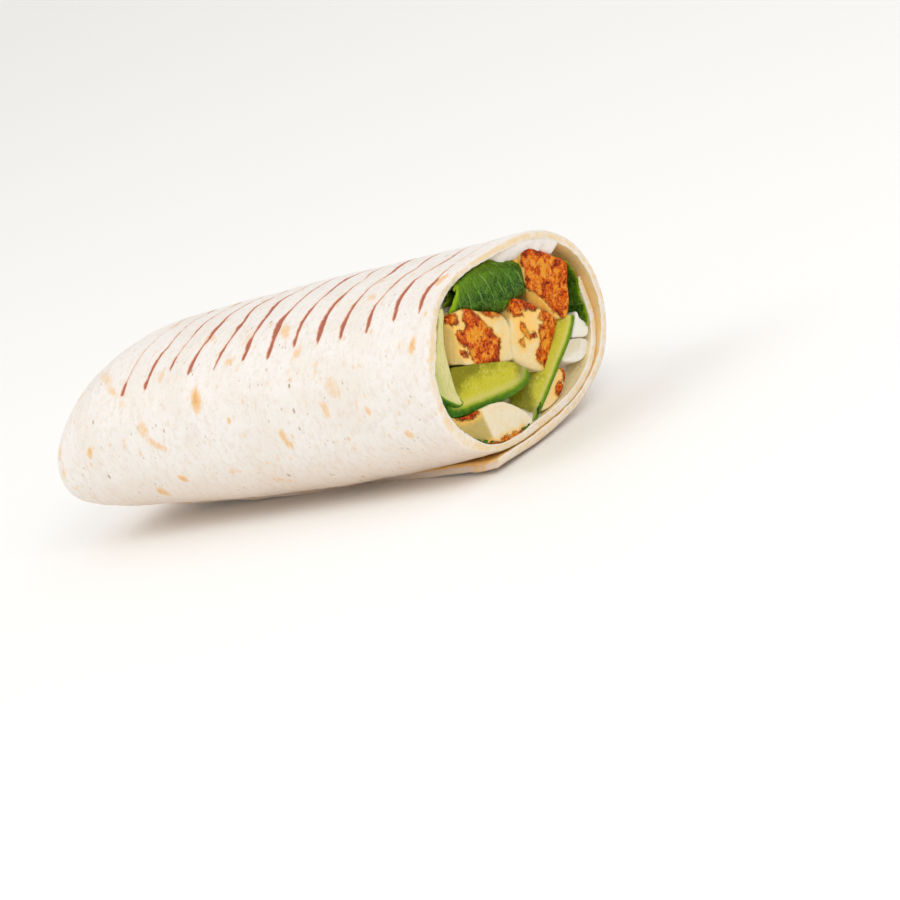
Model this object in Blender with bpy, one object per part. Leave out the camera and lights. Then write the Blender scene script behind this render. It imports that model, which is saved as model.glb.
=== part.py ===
"""Half of a grilled halloumi wrap: a rolled flour tortilla, cut across, with its filling.

The half lies on its seam with the grilled face up. +X points out of the cut end and +Z
points up. The tortilla is one spiral sheet of almost one and a half turns, and its far
end is folded shut. Each filling is a bar or a sheet that runs back from the cut through
the roll, and the white sauce fills the room between them.

All lengths are in metres. Stations along X are measured from the middle of the roll's
straight stretch, and section outlines from the middle of the cut face, until the last
step puts the origin under the middle of the whole wrap.
"""
import math

import bmesh
import bpy
from mathutils import Matrix, Vector

MM = 0.001

# The roll: its outer skin is a squarish oval that tapers along X.
HALF_WIDTH = 0.0282
HALF_HEIGHT = 0.0218
SQUARENESS = 2.29           # 2 is an ellipse, more is squarer
TAPER_REACH = 0.0608        # the tapers below are for this much X
WIDTH_TAPER = (0.00127, -0.00036)
HEIGHT_TAPER = (0.00105, -0.00212)
ARCH = 0.00114              # rise of the roll's middle line at the taper's reach
FLOOR = -0.0212             # the roll's weight flattens it on the surface it lies on

# The cut face is slanted a little to both sides.
CUT_X = 0.0535
SLANT_Y = 0.094
SLANT_Z = 0.095
SLANT_FADE = 0.030

# The folded tail: its top slopes down, its bottom turns up and its sides close in.
TIP_X = -0.0738
TOP_SLOPE = (-0.0409, 2.94, 2.57)       # start, sharpness along X, roundness
BOTTOM_SLOPE = (-0.0579, 1.53, 1.53)
SIDE_CLOSING = (-0.0616, 3.48, 3.48)
TIP_HEIGHT_SHARE = 0.175
TIP_WIDTH_SHARE = 0.07
TAIL_X = -0.0585            # the folded tail is solid from here on
TAIL_STEP_LEFT = 0.25       # share of the seam's step that is left at the tip

# The tortilla sheet and its spiral: angles in degrees from +Y towards +Z.
SHEET = 0.0021
PLY_GAP = 0.0004
SEAM_ANGLE = -124.0         # outer free edge at the cut
SEAM_ANGLE_BACK = -106.0    # and further back, as the sheet is a round disc
SEAM_DRIFT = 0.050
INNER_ANGLE = 370.0         # inner free edge
TUCK_START = 205.0          # the skin sinks under the outer ply from here
TUCK_END = 280.0            # to here
SEAM_LIFT = 0.0012          # the seam stands off the roll at the cut
SEAM_LIFT_REACH = 0.030
INNER_PLY_RECESS = 0.0020   # the inner free edge sits back from the cut
INNER_PLY_RECESS_START = 290.0
TURN_STEPS = 48
OVERLAP_STEPS = 18
ROLL_STATIONS = (0, 4, 9, 15, 22, 30, 40, 51, 62, 72, 82, 90, 97, 104, 112)
TAIL_STATIONS = 8

# The fillings run back from the cut through spaces in the sauce.
CLEAR = 0.00035             # between a filling and the sauce or the tortilla
BAR_END_X = -0.038
MIDDLE_STATIONS = (0.040, 0.015, -0.012)
SPACE_REACH = 0.012         # a space runs this far out in front of its filling
MITRE_LIMIT = 0.4
BEVEL_FROM = 0.5            # turn between two faces, in radians, that gets a bevel
LENGTHWISE = 0.002          # edges that run further than this along X

# How far the sauce sits behind the cut along the wall, by angle in degrees.
SAUCE_EDGE = ((-150, 1.2), (-110, 1.2), (-70, 4.0), (-30, 7.0), (10, 6.0), (38, 5.0),
              (58, 0.8), (120, 0.8), (160, 2.0), (210, 1.2))
SAUCE_MIDDLE_RECESS = 0.0055
SAUCE_RINGS = ((0.66, 0.85), (0.90, 0.25), (1.0, 0.0))  # share of the size, of the dip
SAUCE_BACK_X = TAIL_X + CLEAR
SAUCE_STATIONS = (15, 40, 62, 82, 90, 97, 104, 112)

# Fillings cut to a block shape: corners (y, z) in millimetres on the cut face, how far
# the front sits behind the cut, the front's tilt (x per y, x per z) and edge rounding.
HALLOUMI = {
    "halloumi_top": (
        [(9.4, 9.2), (12.3, 3.2), (17.0, -1.2), (19.2, 1.2), (21.6, 8.6),
         (17.0, 13.4), (12.9, 15.8), (10.3, 16.2)], 0.0010, (0.06, 0.05)),
    "halloumi_left": (
        [(-16.0, 12.9), (-17.8, 9.9), (-18.8, 5.4), (-7.0, -0.7), (-1.1, -2.2),
         (-0.1, 2.2), (-0.8, 5.9), (-2.6, 8.3), (-9.4, 11.5)], 0.0012, (-0.05, 0.05)),
    "halloumi_centre": (
        [(4.9, 8.6), (1.5, 3.2), (0.6, -3.4), (3.4, -6.7), (8.6, -8.6),
         (14.9, -2.4), (8.6, 6.0)], 0.0024, (-0.10, 0.0)),
    "halloumi_bottom": (
        [(-22.0, -7.0), (-21.2, -9.6), (-18.6, -12.2), (-12.0, -14.9), (-6.0, -15.3),
         (-2.6, -15.3), (-2.0, -14.5), (-5.6, -10.7), (-9.0, -9.8)], 0.0016, (0.0, 0.05)),
    "halloumi_right_upper": (
        [(22.4, -2.9), (18.9, -6.4), (20.8, -7.4), (22.6, -5.6), (23.2, -3.2)],
        0.0012, (0.0, 0.0)),
    "halloumi_right_lower": (
        [(17.6, -7.6), (13.4, -10.9), (17.2, -11.6), (19.6, -10.2), (20.4, -8.2)],
        0.0020, (0.0, 0.0)),
    "halloumi_edge": (
        [(12.6, -12.0), (9.4, -14.0), (7.4, -15.2), (9.4, -15.1), (11.6, -14.3),
         (13.6, -12.9)], 0.0036, (0.0, 0.0)),
    "halloumi_back": (
        [(8.6, 17.0), (8.8, 17.5), (4.2, 18.1), (3.8, 17.5)], 0.0040, (0.0, 0.0)),
}
CUCUMBER = {
    "cucumber_long": (
        [(22.3, 1.1), (21.0, 0.4), (19.4, -0.9), (15.3, -4.1), (10.4, -8.0), (4.4, -11.7),
         (-4.4, -10.2), (-1.0, -14.9), (0.6, -15.5), (5.6, -14.6), (12.0, -10.9),
         (17.9, -6.4), (21.9, -2.4)], 0.0030, (0.0, 0.0)),
    "cucumber_half": (
        [(-19.6, 2.0), (-20.3, -2.5), (-20.7, -6.2), (-16.0, -7.4), (-9.1, -9.0),
         (-0.6, -9.8), (2.4, -8.7), (2.6, -7.4), (-3.5, -2.9), (-12.2, 1.0)],
        0.0022, (0.04, 0.10)),
    "cucumber_strip": (
        [(-17.5, 14.2), (-16.6, 13.2), (-18.6, 10.0), (-19.6, 6.4), (-20.6, 1.8),
         (-21.2, -4.0), (-23.4, -3.6), (-25.2, 0.2), (-24.6, 4.8), (-21.4, 10.6)],
        0.0016, (0.0, 0.0)),
}
CHUNK_ROUNDING = 0.0007
SLICE_ROUNDING = 0.0004
SMALL_ROUNDING = 0.0003

# The folded spinach leaf at the top: a flattened scroll whose round front shows.
LEAF_THICKNESS = 0.0007
SCROLL_LEFT = (-13.2, 14.8)             # end points (y, z) of its middle line, mm
SCROLL_RIGHT = (7.4, 12.9)
SCROLL_HEIGHT = (0.0026, 0.0062)        # between the outer plies, at the two ends
SCROLL_RECESS = 0.0012
SCROLL_INNER_SHARE = 0.42     # height of the inner turn against the outer one
SCROLL_GROWTH = 0.6           # the height grows fast at first, then slowly
SCROLL_FRONT_STEPS = 8
SCROLL_BACK_STEPS = 4
SCROLL_WAVE = 0.00018
SCROLL_WAVE_ALONG = 9         # radians over the leaf's length
SCROLL_WAVE_BACK = 260        # radians a metre back from the cut
SCROLL_COLUMNS = 9
SCROLL_MIDDLE_SHARE = 0.86    # half height of its space in the middle, of the right end's
SCROLL_SPACE_EXTRA = 0.003    # its space runs this much further back

# The spinach leaf that stands along the wall on the right.
WALL_LEAF_LINE = ((20.6, 11.7), (22.8, 8.4), (23.4, 4.0), (23.4, 0.8), (23.1, -1.4))
WALL_LEAF_RECESS = 0.0012
WALL_LEAF_RAG = 0.0008
WALL_LEAF_RAG_STEP = 2.1      # radians from one point of the edge to the next

# Edges that turn by more degrees than these are shaded sharp.
SHARP_ROLL = 35
SHARP_CUT = 30
SHARP_LEAF = 50

COLOURS = {
    "tortilla": ((0.80, 0.66, 0.50, 1), 0.72),
    "halloumi": ((0.83, 0.72, 0.42, 1), 0.55),
    "cucumber": ((0.47, 0.56, 0.12, 1), 0.35),
    "spinach": ((0.05, 0.20, 0.03, 1), 0.45),
    "sauce": ((0.86, 0.83, 0.78, 1), 0.35),
}


def clear_scene():
    for old in list(bpy.data.objects):
        bpy.data.objects.remove(old, do_unlink=True)


def smooth_step(value):
    value = min(1.0, max(0.0, value))
    return value * value * (3 - 2 * value)


# ---- the roll's outer skin ------------------------------------------------------------

def closing(x, rule):
    """Share of a size that is left at station x, by a (start, sharpness, roundness) rule."""
    start, sharpness, roundness = rule
    if x >= start:
        return 1.0
    gone = min(1.0, (start - x) / (start - TIP_X))
    return max(0.0, 1 - gone ** sharpness) ** (1 / roundness)


def section(x):
    """Half width, middle height and half height of the skin at station x."""
    reach = x / TAPER_REACH
    width = HALF_WIDTH + WIDTH_TAPER[0] * reach + WIDTH_TAPER[1] * reach ** 2
    height = HALF_HEIGHT + HEIGHT_TAPER[0] * reach + HEIGHT_TAPER[1] * reach ** 2
    middle = ARCH * reach ** 2
    tip = middle - height + 2 * height * TIP_HEIGHT_SHARE
    top = tip + (middle + height - tip) * closing(x, TOP_SLOPE)
    low = tip + (middle - height - tip) * closing(x, BOTTOM_SLOPE)
    width *= TIP_WIDTH_SHARE + (1 - TIP_WIDTH_SHARE) * closing(x, SIDE_CLOSING)
    return width, (top + low) / 2, max((top - low) / 2, 1e-5)


def skin(x, degrees, depth):
    """Point (y, z) that lies depth inside the outer skin at station x."""
    width, middle, height = section(x)
    c = math.cos(math.radians(degrees))
    s = math.sin(math.radians(degrees))
    y = width * math.copysign(abs(c) ** (2 / SQUARENESS), c)
    z = middle + height * math.copysign(abs(s) ** (2 / SQUARENESS), s)
    power = 2 - 2 / SQUARENESS
    normal = Vector((math.copysign(abs(c) ** power, c) / width,
                     math.copysign(abs(s) ** power, s) / height)).normalized()
    z = max(z, FLOOR)
    return y - normal.x * depth, max(z - normal.y * depth, FLOOR)


def slant(y, z):
    """How far the slanted cut face stands forward at (y, z)."""
    return SLANT_Y * y + SLANT_Z * z


def slanted(distance, y, z, recess=0.0):
    """X of a point that lies a distance behind the cut; the slant fades further back."""
    share = max(0.0, 1 - distance / SLANT_FADE) ** 2
    return CUT_X - distance + share * (slant(y, z) - recess)


# ---- the tortilla ---------------------------------------------------------------------

def ply_depth(degrees):
    """Depth of the sheet's outer face below the skin, before the seam's lift."""
    if degrees >= TUCK_END - 360:
        return smooth_step((degrees - TUCK_START) / (TUCK_END - TUCK_START)) * (SHEET + PLY_GAP)
    return ply_depth(degrees + 360) - SHEET - PLY_GAP


def seam_angle(x):
    share = smooth_step((CUT_X - x) / SEAM_DRIFT)
    return SEAM_ANGLE + (SEAM_ANGLE_BACK - SEAM_ANGLE) * share


def sheet_angles(x):
    """Angles of the sheet's points: one full turn from the seam, then the overlap."""
    start = seam_angle(x)
    turn = [start + 360 * i / TURN_STEPS for i in range(TURN_STEPS + 1)]
    rest = INNER_ANGLE - turn[-1]
    return turn + [turn[-1] + rest * i / OVERLAP_STEPS for i in range(1, OVERLAP_STEPS + 1)]


def outer_depth(x, degrees):
    """Depth of the sheet's outer face with the seam's lift near the cut."""
    near_seam = max(0.0, (TUCK_END - 360 - degrees) / (TUCK_END - 360 - SEAM_ANGLE))
    near_cut = smooth_step(1 - (CUT_X - x) / SEAM_LIFT_REACH)
    return ply_depth(degrees) - SEAM_LIFT * near_seam ** 2 * near_cut


def sheet_ring(bm, distance):
    """Outer and inner chain of points of the spiral at a distance behind the cut."""
    x = CUT_X - distance
    outer, inner = [], []
    for degrees in sheet_angles(x):
        late = (degrees - INNER_PLY_RECESS_START) / (INNER_ANGLE - INNER_PLY_RECESS_START)
        recess = INNER_PLY_RECESS * smooth_step(late)
        depth = outer_depth(x, degrees)
        for chain, extra in ((outer, 0.0), (inner, SHEET)):
            y, z = skin(x, degrees, depth + extra)
            chain.append(bm.verts.new((slanted(distance, y, z, recess), y, z)))
    return outer, inner


def tail_ring(bm, x):
    """Closed outline of the solid tail with the seam's step, fading to the tip."""
    fade = TAIL_STEP_LEFT + (1 - TAIL_STEP_LEFT) * (x - TIP_X) / (TAIL_X - TIP_X)
    angles = sheet_angles(x)[:TURN_STEPS + 1]
    points = [skin(x, a, outer_depth(x, a) * fade) for a in angles]
    points.append(skin(x, angles[0], (outer_depth(x, angles[0]) + SHEET) * fade))
    return [bm.verts.new((x, y, z)) for y, z in points]


def join_loops(bm, first, second):
    """Quads between two closed loops of as many points."""
    count = len(first)
    for i in range(count):
        j = (i + 1) % count
        bm.faces.new((first[i], first[j], second[j], second[i]))


def build_tortilla():
    bm = bmesh.new()
    rings = [sheet_ring(bm, distance * MM) for distance in ROLL_STATIONS]
    loops = [outer + inner[::-1] for outer, inner in rings]
    for first, second in zip(loops, loops[1:]):
        join_loops(bm, first, second)
    outer, inner = rings[0]
    for i in range(len(outer) - 1):
        bm.faces.new((outer[i], outer[i + 1], inner[i + 1], inner[i]))
    outer, inner = rings[-1]
    bm.faces.new(outer[TURN_STEPS:] + inner[::-1])
    ring = outer[:TURN_STEPS + 1] + [inner[0]]
    for step in range(TAIL_STATIONS - 1, 0, -1):
        x = TIP_X + (TAIL_X - TIP_X) * (step / TAIL_STATIONS) ** 2
        following = tail_ring(bm, x)
        join_loops(bm, ring, following)
        ring = following
    bm.faces.new(ring)
    finish_mesh(bm, "tortilla", "tortilla", SHARP_ROLL)


# ---- the fillings ---------------------------------------------------------------------

def follow_roll(x, y, z):
    """A point of the cut face's outline carried back to station x with the roll's taper."""
    width, middle, height = section(x)
    cut_width, _, cut_height = section(CUT_X)
    plies = 2 * SHEET + PLY_GAP
    return (y * (width - plies) / (cut_width - plies),
            middle + z * (height - plies) / (cut_height - plies))


def grown(corners, margin):
    """The outline with each side moved out by a margin."""
    area = sum(a[0] * b[1] - b[0] * a[1] for a, b in zip(corners, corners[1:] + corners[:1]))
    points = [Vector(c) for c in (corners if area > 0 else corners[::-1])]
    result = []
    for i, point in enumerate(points):
        before = (point - points[i - 1]).normalized()
        after = (points[(i + 1) % len(points)] - point).normalized()
        outward = Vector((before.y + after.y, -before.x - after.x)).normalized()
        stretch = max(MITRE_LIMIT, outward.dot(Vector((before.y, -before.x))))
        result.append(point + outward * margin / stretch)
    return result


def bar_mesh(corners, recess, tilt, rounding, margin=0.0, forward=0.0, end_x=BAR_END_X):
    """A block with a tilted front that runs back through the roll."""
    outline = grown([(y * MM, z * MM) for y, z in corners], margin)
    middle = sum(outline, Vector((0, 0))) / len(outline)
    bm = bmesh.new()
    front = []
    for y, z in outline:
        lean = tilt[0] * (y - middle.x) + tilt[1] * (z - middle.y)
        front.append(Vector((CUT_X + slant(y, z) - recess + lean,
                             *follow_roll(CUT_X, y, z))))
    loops = [[bm.verts.new(point) for point in front]]
    if forward:
        loops.insert(0, [bm.verts.new(point + Vector((forward, 0, 0))) for point in front])
    for x in MIDDLE_STATIONS + (end_x - margin,):
        loops.append([bm.verts.new((x, *follow_roll(x, y, z))) for y, z in outline])
    for first, second in zip(loops, loops[1:]):
        join_loops(bm, first, second)
    bm.faces.new(loops[0])
    bm.faces.new(loops[-1])
    bmesh.ops.recalc_face_normals(bm, faces=bm.faces)
    if rounding:
        front_edges = [e for e in bm.edges if all(v in loops[0] for v in e.verts)]
        long_edges = [e for e in bm.edges if e.is_convex and e.calc_face_angle(0) > BEVEL_FROM
                      and abs(e.verts[0].co.x - e.verts[1].co.x) > LENGTHWISE]
        bmesh.ops.bevel(bm, geom=front_edges + long_edges, offset=rounding, segments=1,
                        profile=0.5, affect="EDGES", clamp_overlap=True)
    return bm


def build_bar(name, kind, corners, recess, tilt, rounding):
    finish_mesh(bar_mesh(corners, recess, tilt, rounding), name, kind, SHARP_CUT)
    return space(bar_mesh(corners, recess, tilt, 0, CLEAR, SPACE_REACH), name)


def thin_sheet(rows, thickness):
    """A thin closed sheet over a grid of points, both faces split into like triangles."""
    bm = bmesh.new()
    count, width = len(rows), len(rows[0])
    faces = []
    for side in (0.5, -0.5):
        grid = []
        for i, row in enumerate(rows):
            line = []
            for j, point in enumerate(row):
                along = rows[min(i + 1, count - 1)][j] - rows[max(i - 1, 0)][j]
                across = row[min(j + 1, width - 1)] - row[max(j - 1, 0)]
                line.append(bm.verts.new(point + along.cross(across).normalized()
                                         * thickness * side))
            grid.append(line)
        for i in range(count - 1):
            for j in range(width - 1):
                a, b = grid[i][j], grid[i + 1][j]
                c, d = grid[i + 1][j + 1], grid[i][j + 1]
                bm.faces.new((a, b, c))
                bm.faces.new((a, c, d))
        faces.append(grid)
    top, under = faces
    border = ([(i, 0) for i in range(count)] + [(count - 1, j) for j in range(1, width)]
              + [(i, width - 1) for i in range(count - 2, -1, -1)]
              + [(0, j) for j in range(width - 2, 0, -1)])
    join_loops(bm, [top[i][j] for i, j in border], [under[i][j] for i, j in border])
    return bm


def half_turn(centre, radius, side, start, steps):
    """Points of a half circle that starts above (1) or below (-1) its centre."""
    points = []
    for i in range(steps + 1):
        turn = math.pi * i / steps
        points.append((centre[0] + side * radius * math.sin(turn),
                       centre[1] + start * radius * math.cos(turn)))
    return points


def scroll_path(height, depth):
    """The folded leaf seen from its end, as (distance back, level), outside to inside.

    The outer ply comes forward along the top, turns down over the whole height at the
    front and runs back along the bottom. There it turns up and forward again inside
    itself, makes a smaller turn behind the first one and ends at the back.
    """
    outer, inner = height / 2, height * SCROLL_INNER_SHARE / 2
    gap = outer - inner
    path = [(depth - outer, outer), (depth / 2, outer)]
    path += half_turn((outer, 0), outer, -1, 1, SCROLL_FRONT_STEPS)
    path += [(depth / 2, -outer)]
    path += half_turn((depth - outer, -(outer + inner) / 2), gap / 2, 1, -1,
                      SCROLL_BACK_STEPS)
    path += [(depth / 2, -inner)]
    path += half_turn((outer + gap, 0), inner, -1, -1, SCROLL_FRONT_STEPS - 2)
    path += [(depth / 2, inner), (depth - outer, inner)]
    return path


def build_scroll():
    """The folded spinach leaf, its turned front showing and its plies running back."""
    lines = []
    for column in range(SCROLL_COLUMNS):
        share = column / (SCROLL_COLUMNS - 1)
        y = SCROLL_LEFT[0] + (SCROLL_RIGHT[0] - SCROLL_LEFT[0]) * share
        z = SCROLL_LEFT[1] + (SCROLL_RIGHT[1] - SCROLL_LEFT[1]) * share
        growth = share ** SCROLL_GROWTH
        height = SCROLL_HEIGHT[0] + (SCROLL_HEIGHT[1] - SCROLL_HEIGHT[0]) * growth
        front = CUT_X + slant(y * MM, z * MM) - SCROLL_RECESS
        line = []
        for back, level in scroll_path(height, front - BAR_END_X):
            x = front - back
            phase = share * SCROLL_WAVE_ALONG + back * SCROLL_WAVE_BACK
            wave = SCROLL_WAVE * math.sin(phase)
            ahead = follow_roll(x, y * MM, z * MM + level + wave)
            line.append(Vector((x, *ahead)))
        lines.append(line)
    rows = [list(row) for row in zip(*lines)]
    finish_mesh(thin_sheet(rows, LEAF_THICKNESS), "spinach_folded", "spinach", SHARP_LEAF)
    left, right = [(height + LEAF_THICKNESS) / 2 / MM + SCROLL_WAVE / MM
                   for height in SCROLL_HEIGHT]
    (ly, lz), (ry, rz) = SCROLL_LEFT, SCROLL_RIGHT
    my, mz = (ly + ry) / 2, (lz + rz) / 2
    middle = right * SCROLL_MIDDLE_SHARE
    outline = [(ly, lz + left), (ly, lz - left), (my, mz - middle), (ry, rz - right),
               (ry, rz + right), (my, mz + middle)]
    shape = bar_mesh(outline, 0, (0, 0), 0, CLEAR, SPACE_REACH, BAR_END_X - SCROLL_SPACE_EXTRA)
    return space(shape, "spinach_folded")


def build_wall_leaf():
    """The spinach leaf along the wall, its ragged front edge showing."""
    rows = []
    stations = (0.0,) + MIDDLE_STATIONS + (BAR_END_X,)
    for number, station in enumerate(stations):
        row = []
        for index, (y, z) in enumerate(WALL_LEAF_LINE):
            if number:
                x = station
            else:
                rag = WALL_LEAF_RAG * math.sin(index * WALL_LEAF_RAG_STEP)
                x = CUT_X + slant(y * MM, z * MM) - WALL_LEAF_RECESS - abs(rag)
            row.append(Vector((x, *follow_roll(x, y * MM, z * MM))))
        rows.append(row)
    finish_mesh(thin_sheet(rows, LEAF_THICKNESS), "spinach_wall", "spinach", SHARP_LEAF)
    half = LEAF_THICKNESS / 2 / MM
    outward = [(y + half, z) for y, z in WALL_LEAF_LINE]
    inward = [(y - half, z) for y, z in WALL_LEAF_LINE]
    shape = bar_mesh(inward + outward[::-1], 0, (0, 0), 0, CLEAR, SPACE_REACH)
    return space(shape, "spinach_wall")


# ---- the sauce ------------------------------------------------------------------------

def edge_recess(degrees):
    """How far the sauce sits behind the cut along the wall at an angle."""
    turn = (degrees + 150) % 360 - 150
    for (a, first), (b, second) in zip(SAUCE_EDGE, SAUCE_EDGE[1:]):
        if a <= turn <= b:
            return (first + (second - first) * smooth_step((turn - a) / (b - a))) * MM
    return SAUCE_EDGE[0][1] * MM


def sauce_outline(x):
    """Inside of the tortilla at station x, with a clearance."""
    beyond = math.degrees(1.5 * CLEAR / HALF_WIDTH)
    start = INNER_ANGLE - 360 + beyond
    angles = [start + 360 * i / TURN_STEPS for i in range(TURN_STEPS + 1)]
    return [(a, skin(x, a, outer_depth(x, a) + SHEET + CLEAR)) for a in angles]


def build_sauce(spaces):
    """The sauce and what it binds: all the room that the fillings leave in the roll."""
    bm = bmesh.new()
    loops = []
    middle = section(CUT_X)[1]
    for share, dip in SAUCE_RINGS:
        ring = []
        for degrees, (y, z) in sauce_outline(CUT_X):
            y, z = y * share, middle + (z - middle) * share
            edge = edge_recess(degrees)
            recess = edge + (SAUCE_MIDDLE_RECESS - edge) * dip
            ring.append(bm.verts.new((CUT_X + slant(y, z) - recess, y, z)))
        loops.append(ring)
    for distance in SAUCE_STATIONS:
        x = max(CUT_X - distance * MM, SAUCE_BACK_X)
        loops.append([bm.verts.new((x, y, z)) for _, (y, z) in sauce_outline(x)])
    for first, second in zip(loops, loops[1:]):
        join_loops(bm, first, second)
    centre = bm.verts.new((CUT_X - SAUCE_MIDDLE_RECESS, 0, middle))
    for first, second in zip(loops[0], loops[0][1:] + loops[0][:1]):
        bm.faces.new((first, centre, second))
    bm.faces.new(loops[-1])
    sauce = finish_mesh(bm, "sauce", "sauce", SHARP_ROLL)
    holes = bpy.data.collections.new("filling_spaces")
    bpy.context.scene.collection.children.link(holes)
    for shape in spaces:
        bpy.context.scene.collection.objects.unlink(shape)
        holes.objects.link(shape)
    cut = sauce.modifiers.new("filling spaces", "BOOLEAN")
    cut.operation = "DIFFERENCE"
    cut.operand_type = "COLLECTION"
    cut.collection = holes
    cut.solver = "EXACT"


# ---- objects --------------------------------------------------------------------------

def material(kind):
    found = bpy.data.materials.get(kind)
    if found:
        return found
    colour, roughness = COLOURS[kind]
    made = bpy.data.materials.new(kind)
    made.use_nodes = True
    shader = made.node_tree.nodes["Principled BSDF"]
    shader.inputs["Base Color"].default_value = colour
    shader.inputs["Roughness"].default_value = roughness
    shader.inputs["Metallic"].default_value = 0.0
    made.diffuse_color = colour
    return made


def finish_mesh(bm, name, kind, sharp_degrees):
    """Turn the faces out, make flat triangles and link the object."""
    bmesh.ops.recalc_face_normals(bm, faces=bm.faces)
    bmesh.ops.triangulate(bm, faces=[f for f in bm.faces if len(f.verts) > 4],
                          ngon_method="EAR_CLIP")
    mesh = bpy.data.meshes.new(name)
    bm.to_mesh(mesh)
    bm.free()
    mesh.shade_smooth()
    mesh.set_sharp_from_angle(angle=math.radians(sharp_degrees))
    mesh.materials.append(material(kind))
    made = bpy.data.objects.new(name, mesh)
    bpy.context.scene.collection.objects.link(made)
    return made


def space(bm, name):
    """A hidden shape that keeps a space in the sauce."""
    bmesh.ops.triangulate(bm, faces=bm.faces, ngon_method="EAR_CLIP")
    mesh = bpy.data.meshes.new(name + "_space")
    bm.to_mesh(mesh)
    bm.free()
    made = bpy.data.objects.new(name + "_space", mesh)
    made.hide_render = True
    made.display_type = "WIRE"
    bpy.context.scene.collection.objects.link(made)
    return made


def stand_on_origin():
    """Move every mesh so that the tortilla's box stands centred on the origin."""
    points = [v.co for v in bpy.data.objects["tortilla"].data.vertices]
    low = Vector([min(p[i] for p in points) for i in range(3)])
    high = Vector([max(p[i] for p in points) for i in range(3)])
    centre = (low + high) / 2
    shift = Matrix.Translation((-centre.x, -centre.y, -low.z))
    for mesh in bpy.data.meshes:
        if mesh.users:
            mesh.transform(shift)


def main():
    clear_scene()
    build_tortilla()
    spaces = []
    for name, (corners, recess, tilt) in HALLOUMI.items():
        small = name in ("halloumi_edge", "halloumi_back")
        rounding = SMALL_ROUNDING if small else CHUNK_ROUNDING
        spaces.append(build_bar(name, "halloumi", corners, recess, tilt, rounding))
    for name, (corners, recess, tilt) in CUCUMBER.items():
        spaces.append(build_bar(name, "cucumber", corners, recess, tilt, SLICE_ROUNDING))
    spaces += [build_scroll(), build_wall_leaf()]
    build_sauce(spaces)
    stand_on_origin()


main()
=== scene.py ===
"""A halloumi wrap: one half of a grilled wrap, cut across, with its filling showing.

The tortilla is one sheet that winds almost one and a half times round the filling, with
its rim, folded tail, grill marks and toasted spots. Each filling is a bar or leaf that
runs back from the cut. Sizes are in metres. Stations along the roll are measured from
the middle of its straight stretch, and filling outlines from the middle of the cut face,
until each piece is moved to the frame's own origin. Patterns on the surfaces are in
millimetres.
"""
import math
import random

import bmesh
import bpy
import numpy as np
from bpy.props import FloatProperty, FloatVectorProperty, PointerProperty
from mathutils import Matrix, Vector, noise


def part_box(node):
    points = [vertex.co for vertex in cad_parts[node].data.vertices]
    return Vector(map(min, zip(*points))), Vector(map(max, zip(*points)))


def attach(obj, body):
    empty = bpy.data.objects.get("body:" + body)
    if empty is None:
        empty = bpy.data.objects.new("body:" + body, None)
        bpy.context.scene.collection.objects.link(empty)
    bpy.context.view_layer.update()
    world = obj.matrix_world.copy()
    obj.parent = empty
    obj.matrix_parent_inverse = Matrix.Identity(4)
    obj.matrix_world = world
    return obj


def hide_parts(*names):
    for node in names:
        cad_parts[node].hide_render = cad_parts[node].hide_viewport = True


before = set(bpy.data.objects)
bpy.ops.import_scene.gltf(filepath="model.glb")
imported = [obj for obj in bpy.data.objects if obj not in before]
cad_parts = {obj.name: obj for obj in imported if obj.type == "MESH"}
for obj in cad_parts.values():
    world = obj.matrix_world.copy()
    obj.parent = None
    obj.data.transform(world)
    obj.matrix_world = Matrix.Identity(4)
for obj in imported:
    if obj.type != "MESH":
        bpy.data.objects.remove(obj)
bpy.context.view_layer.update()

bl_info = {
    "name": "Halloumi wrap",
    "version": (1, 0, 0),
    "blender": (4, 5, 0),
    "location": "3D View > Sidebar > Wrap",
    "description": "Builds half of a grilled halloumi wrap and a studio to show it in",
    "category": "Add Mesh",
}

MM = 0.001

# The roll's outer skin, as in the solids: a squarish oval that tapers along X.
HALF_WIDTH = 0.0282
HALF_HEIGHT = 0.0218
SQUARENESS = 2.29
TAPER_REACH = 0.0608
WIDTH_TAPER = (0.00127, -0.00036)
HEIGHT_TAPER = (0.00105, -0.00212)
ARCH = 0.00114
FLOOR = -0.0212

CUT_X = 0.0535
SLANT_Y = 0.094
SLANT_Z = 0.095
SLANT_FADE = 0.030

TIP_X = -0.0738
TOP_SLOPE = (-0.0409, 2.94, 2.57)
BOTTOM_SLOPE = (-0.0579, 1.53, 1.53)
SIDE_CLOSING = (-0.0616, 3.48, 3.48)
TIP_HEIGHT_SHARE = 0.175
TIP_WIDTH_SHARE = 0.07
TAIL_X = -0.0585
TAIL_LAST = 1 / 8                    # the tail's last ring, as a share that is squared
TAIL_END_X = TIP_X + (TAIL_X - TIP_X) * TAIL_LAST ** 2
TAIL_STEP_LEFT = 0.25

SHEET = 0.0021
PLY_GAP = 0.00008
SEAM_ANGLE = -121.0
SEAM_ANGLE_BACK = -106.0
SEAM_DRIFT = 0.050
INNER_ANGLE = 370.0
TUCK_START = 205.0
TUCK_END = 280.0
SEAM_LIFT = 0.0012
SEAM_LIFT_REACH = 0.030
INNER_PLY_RECESS = 0.0020
INNER_PLY_RECESS_START = 290.0

BAR_END_X = -0.038                   # where the fillings end inside the roll
FLARE_REACH = 0.012                  # the rim's flare fades out over this much X
PINCH_REACH = 0.014                  # and its change in thickness over this much

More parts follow.
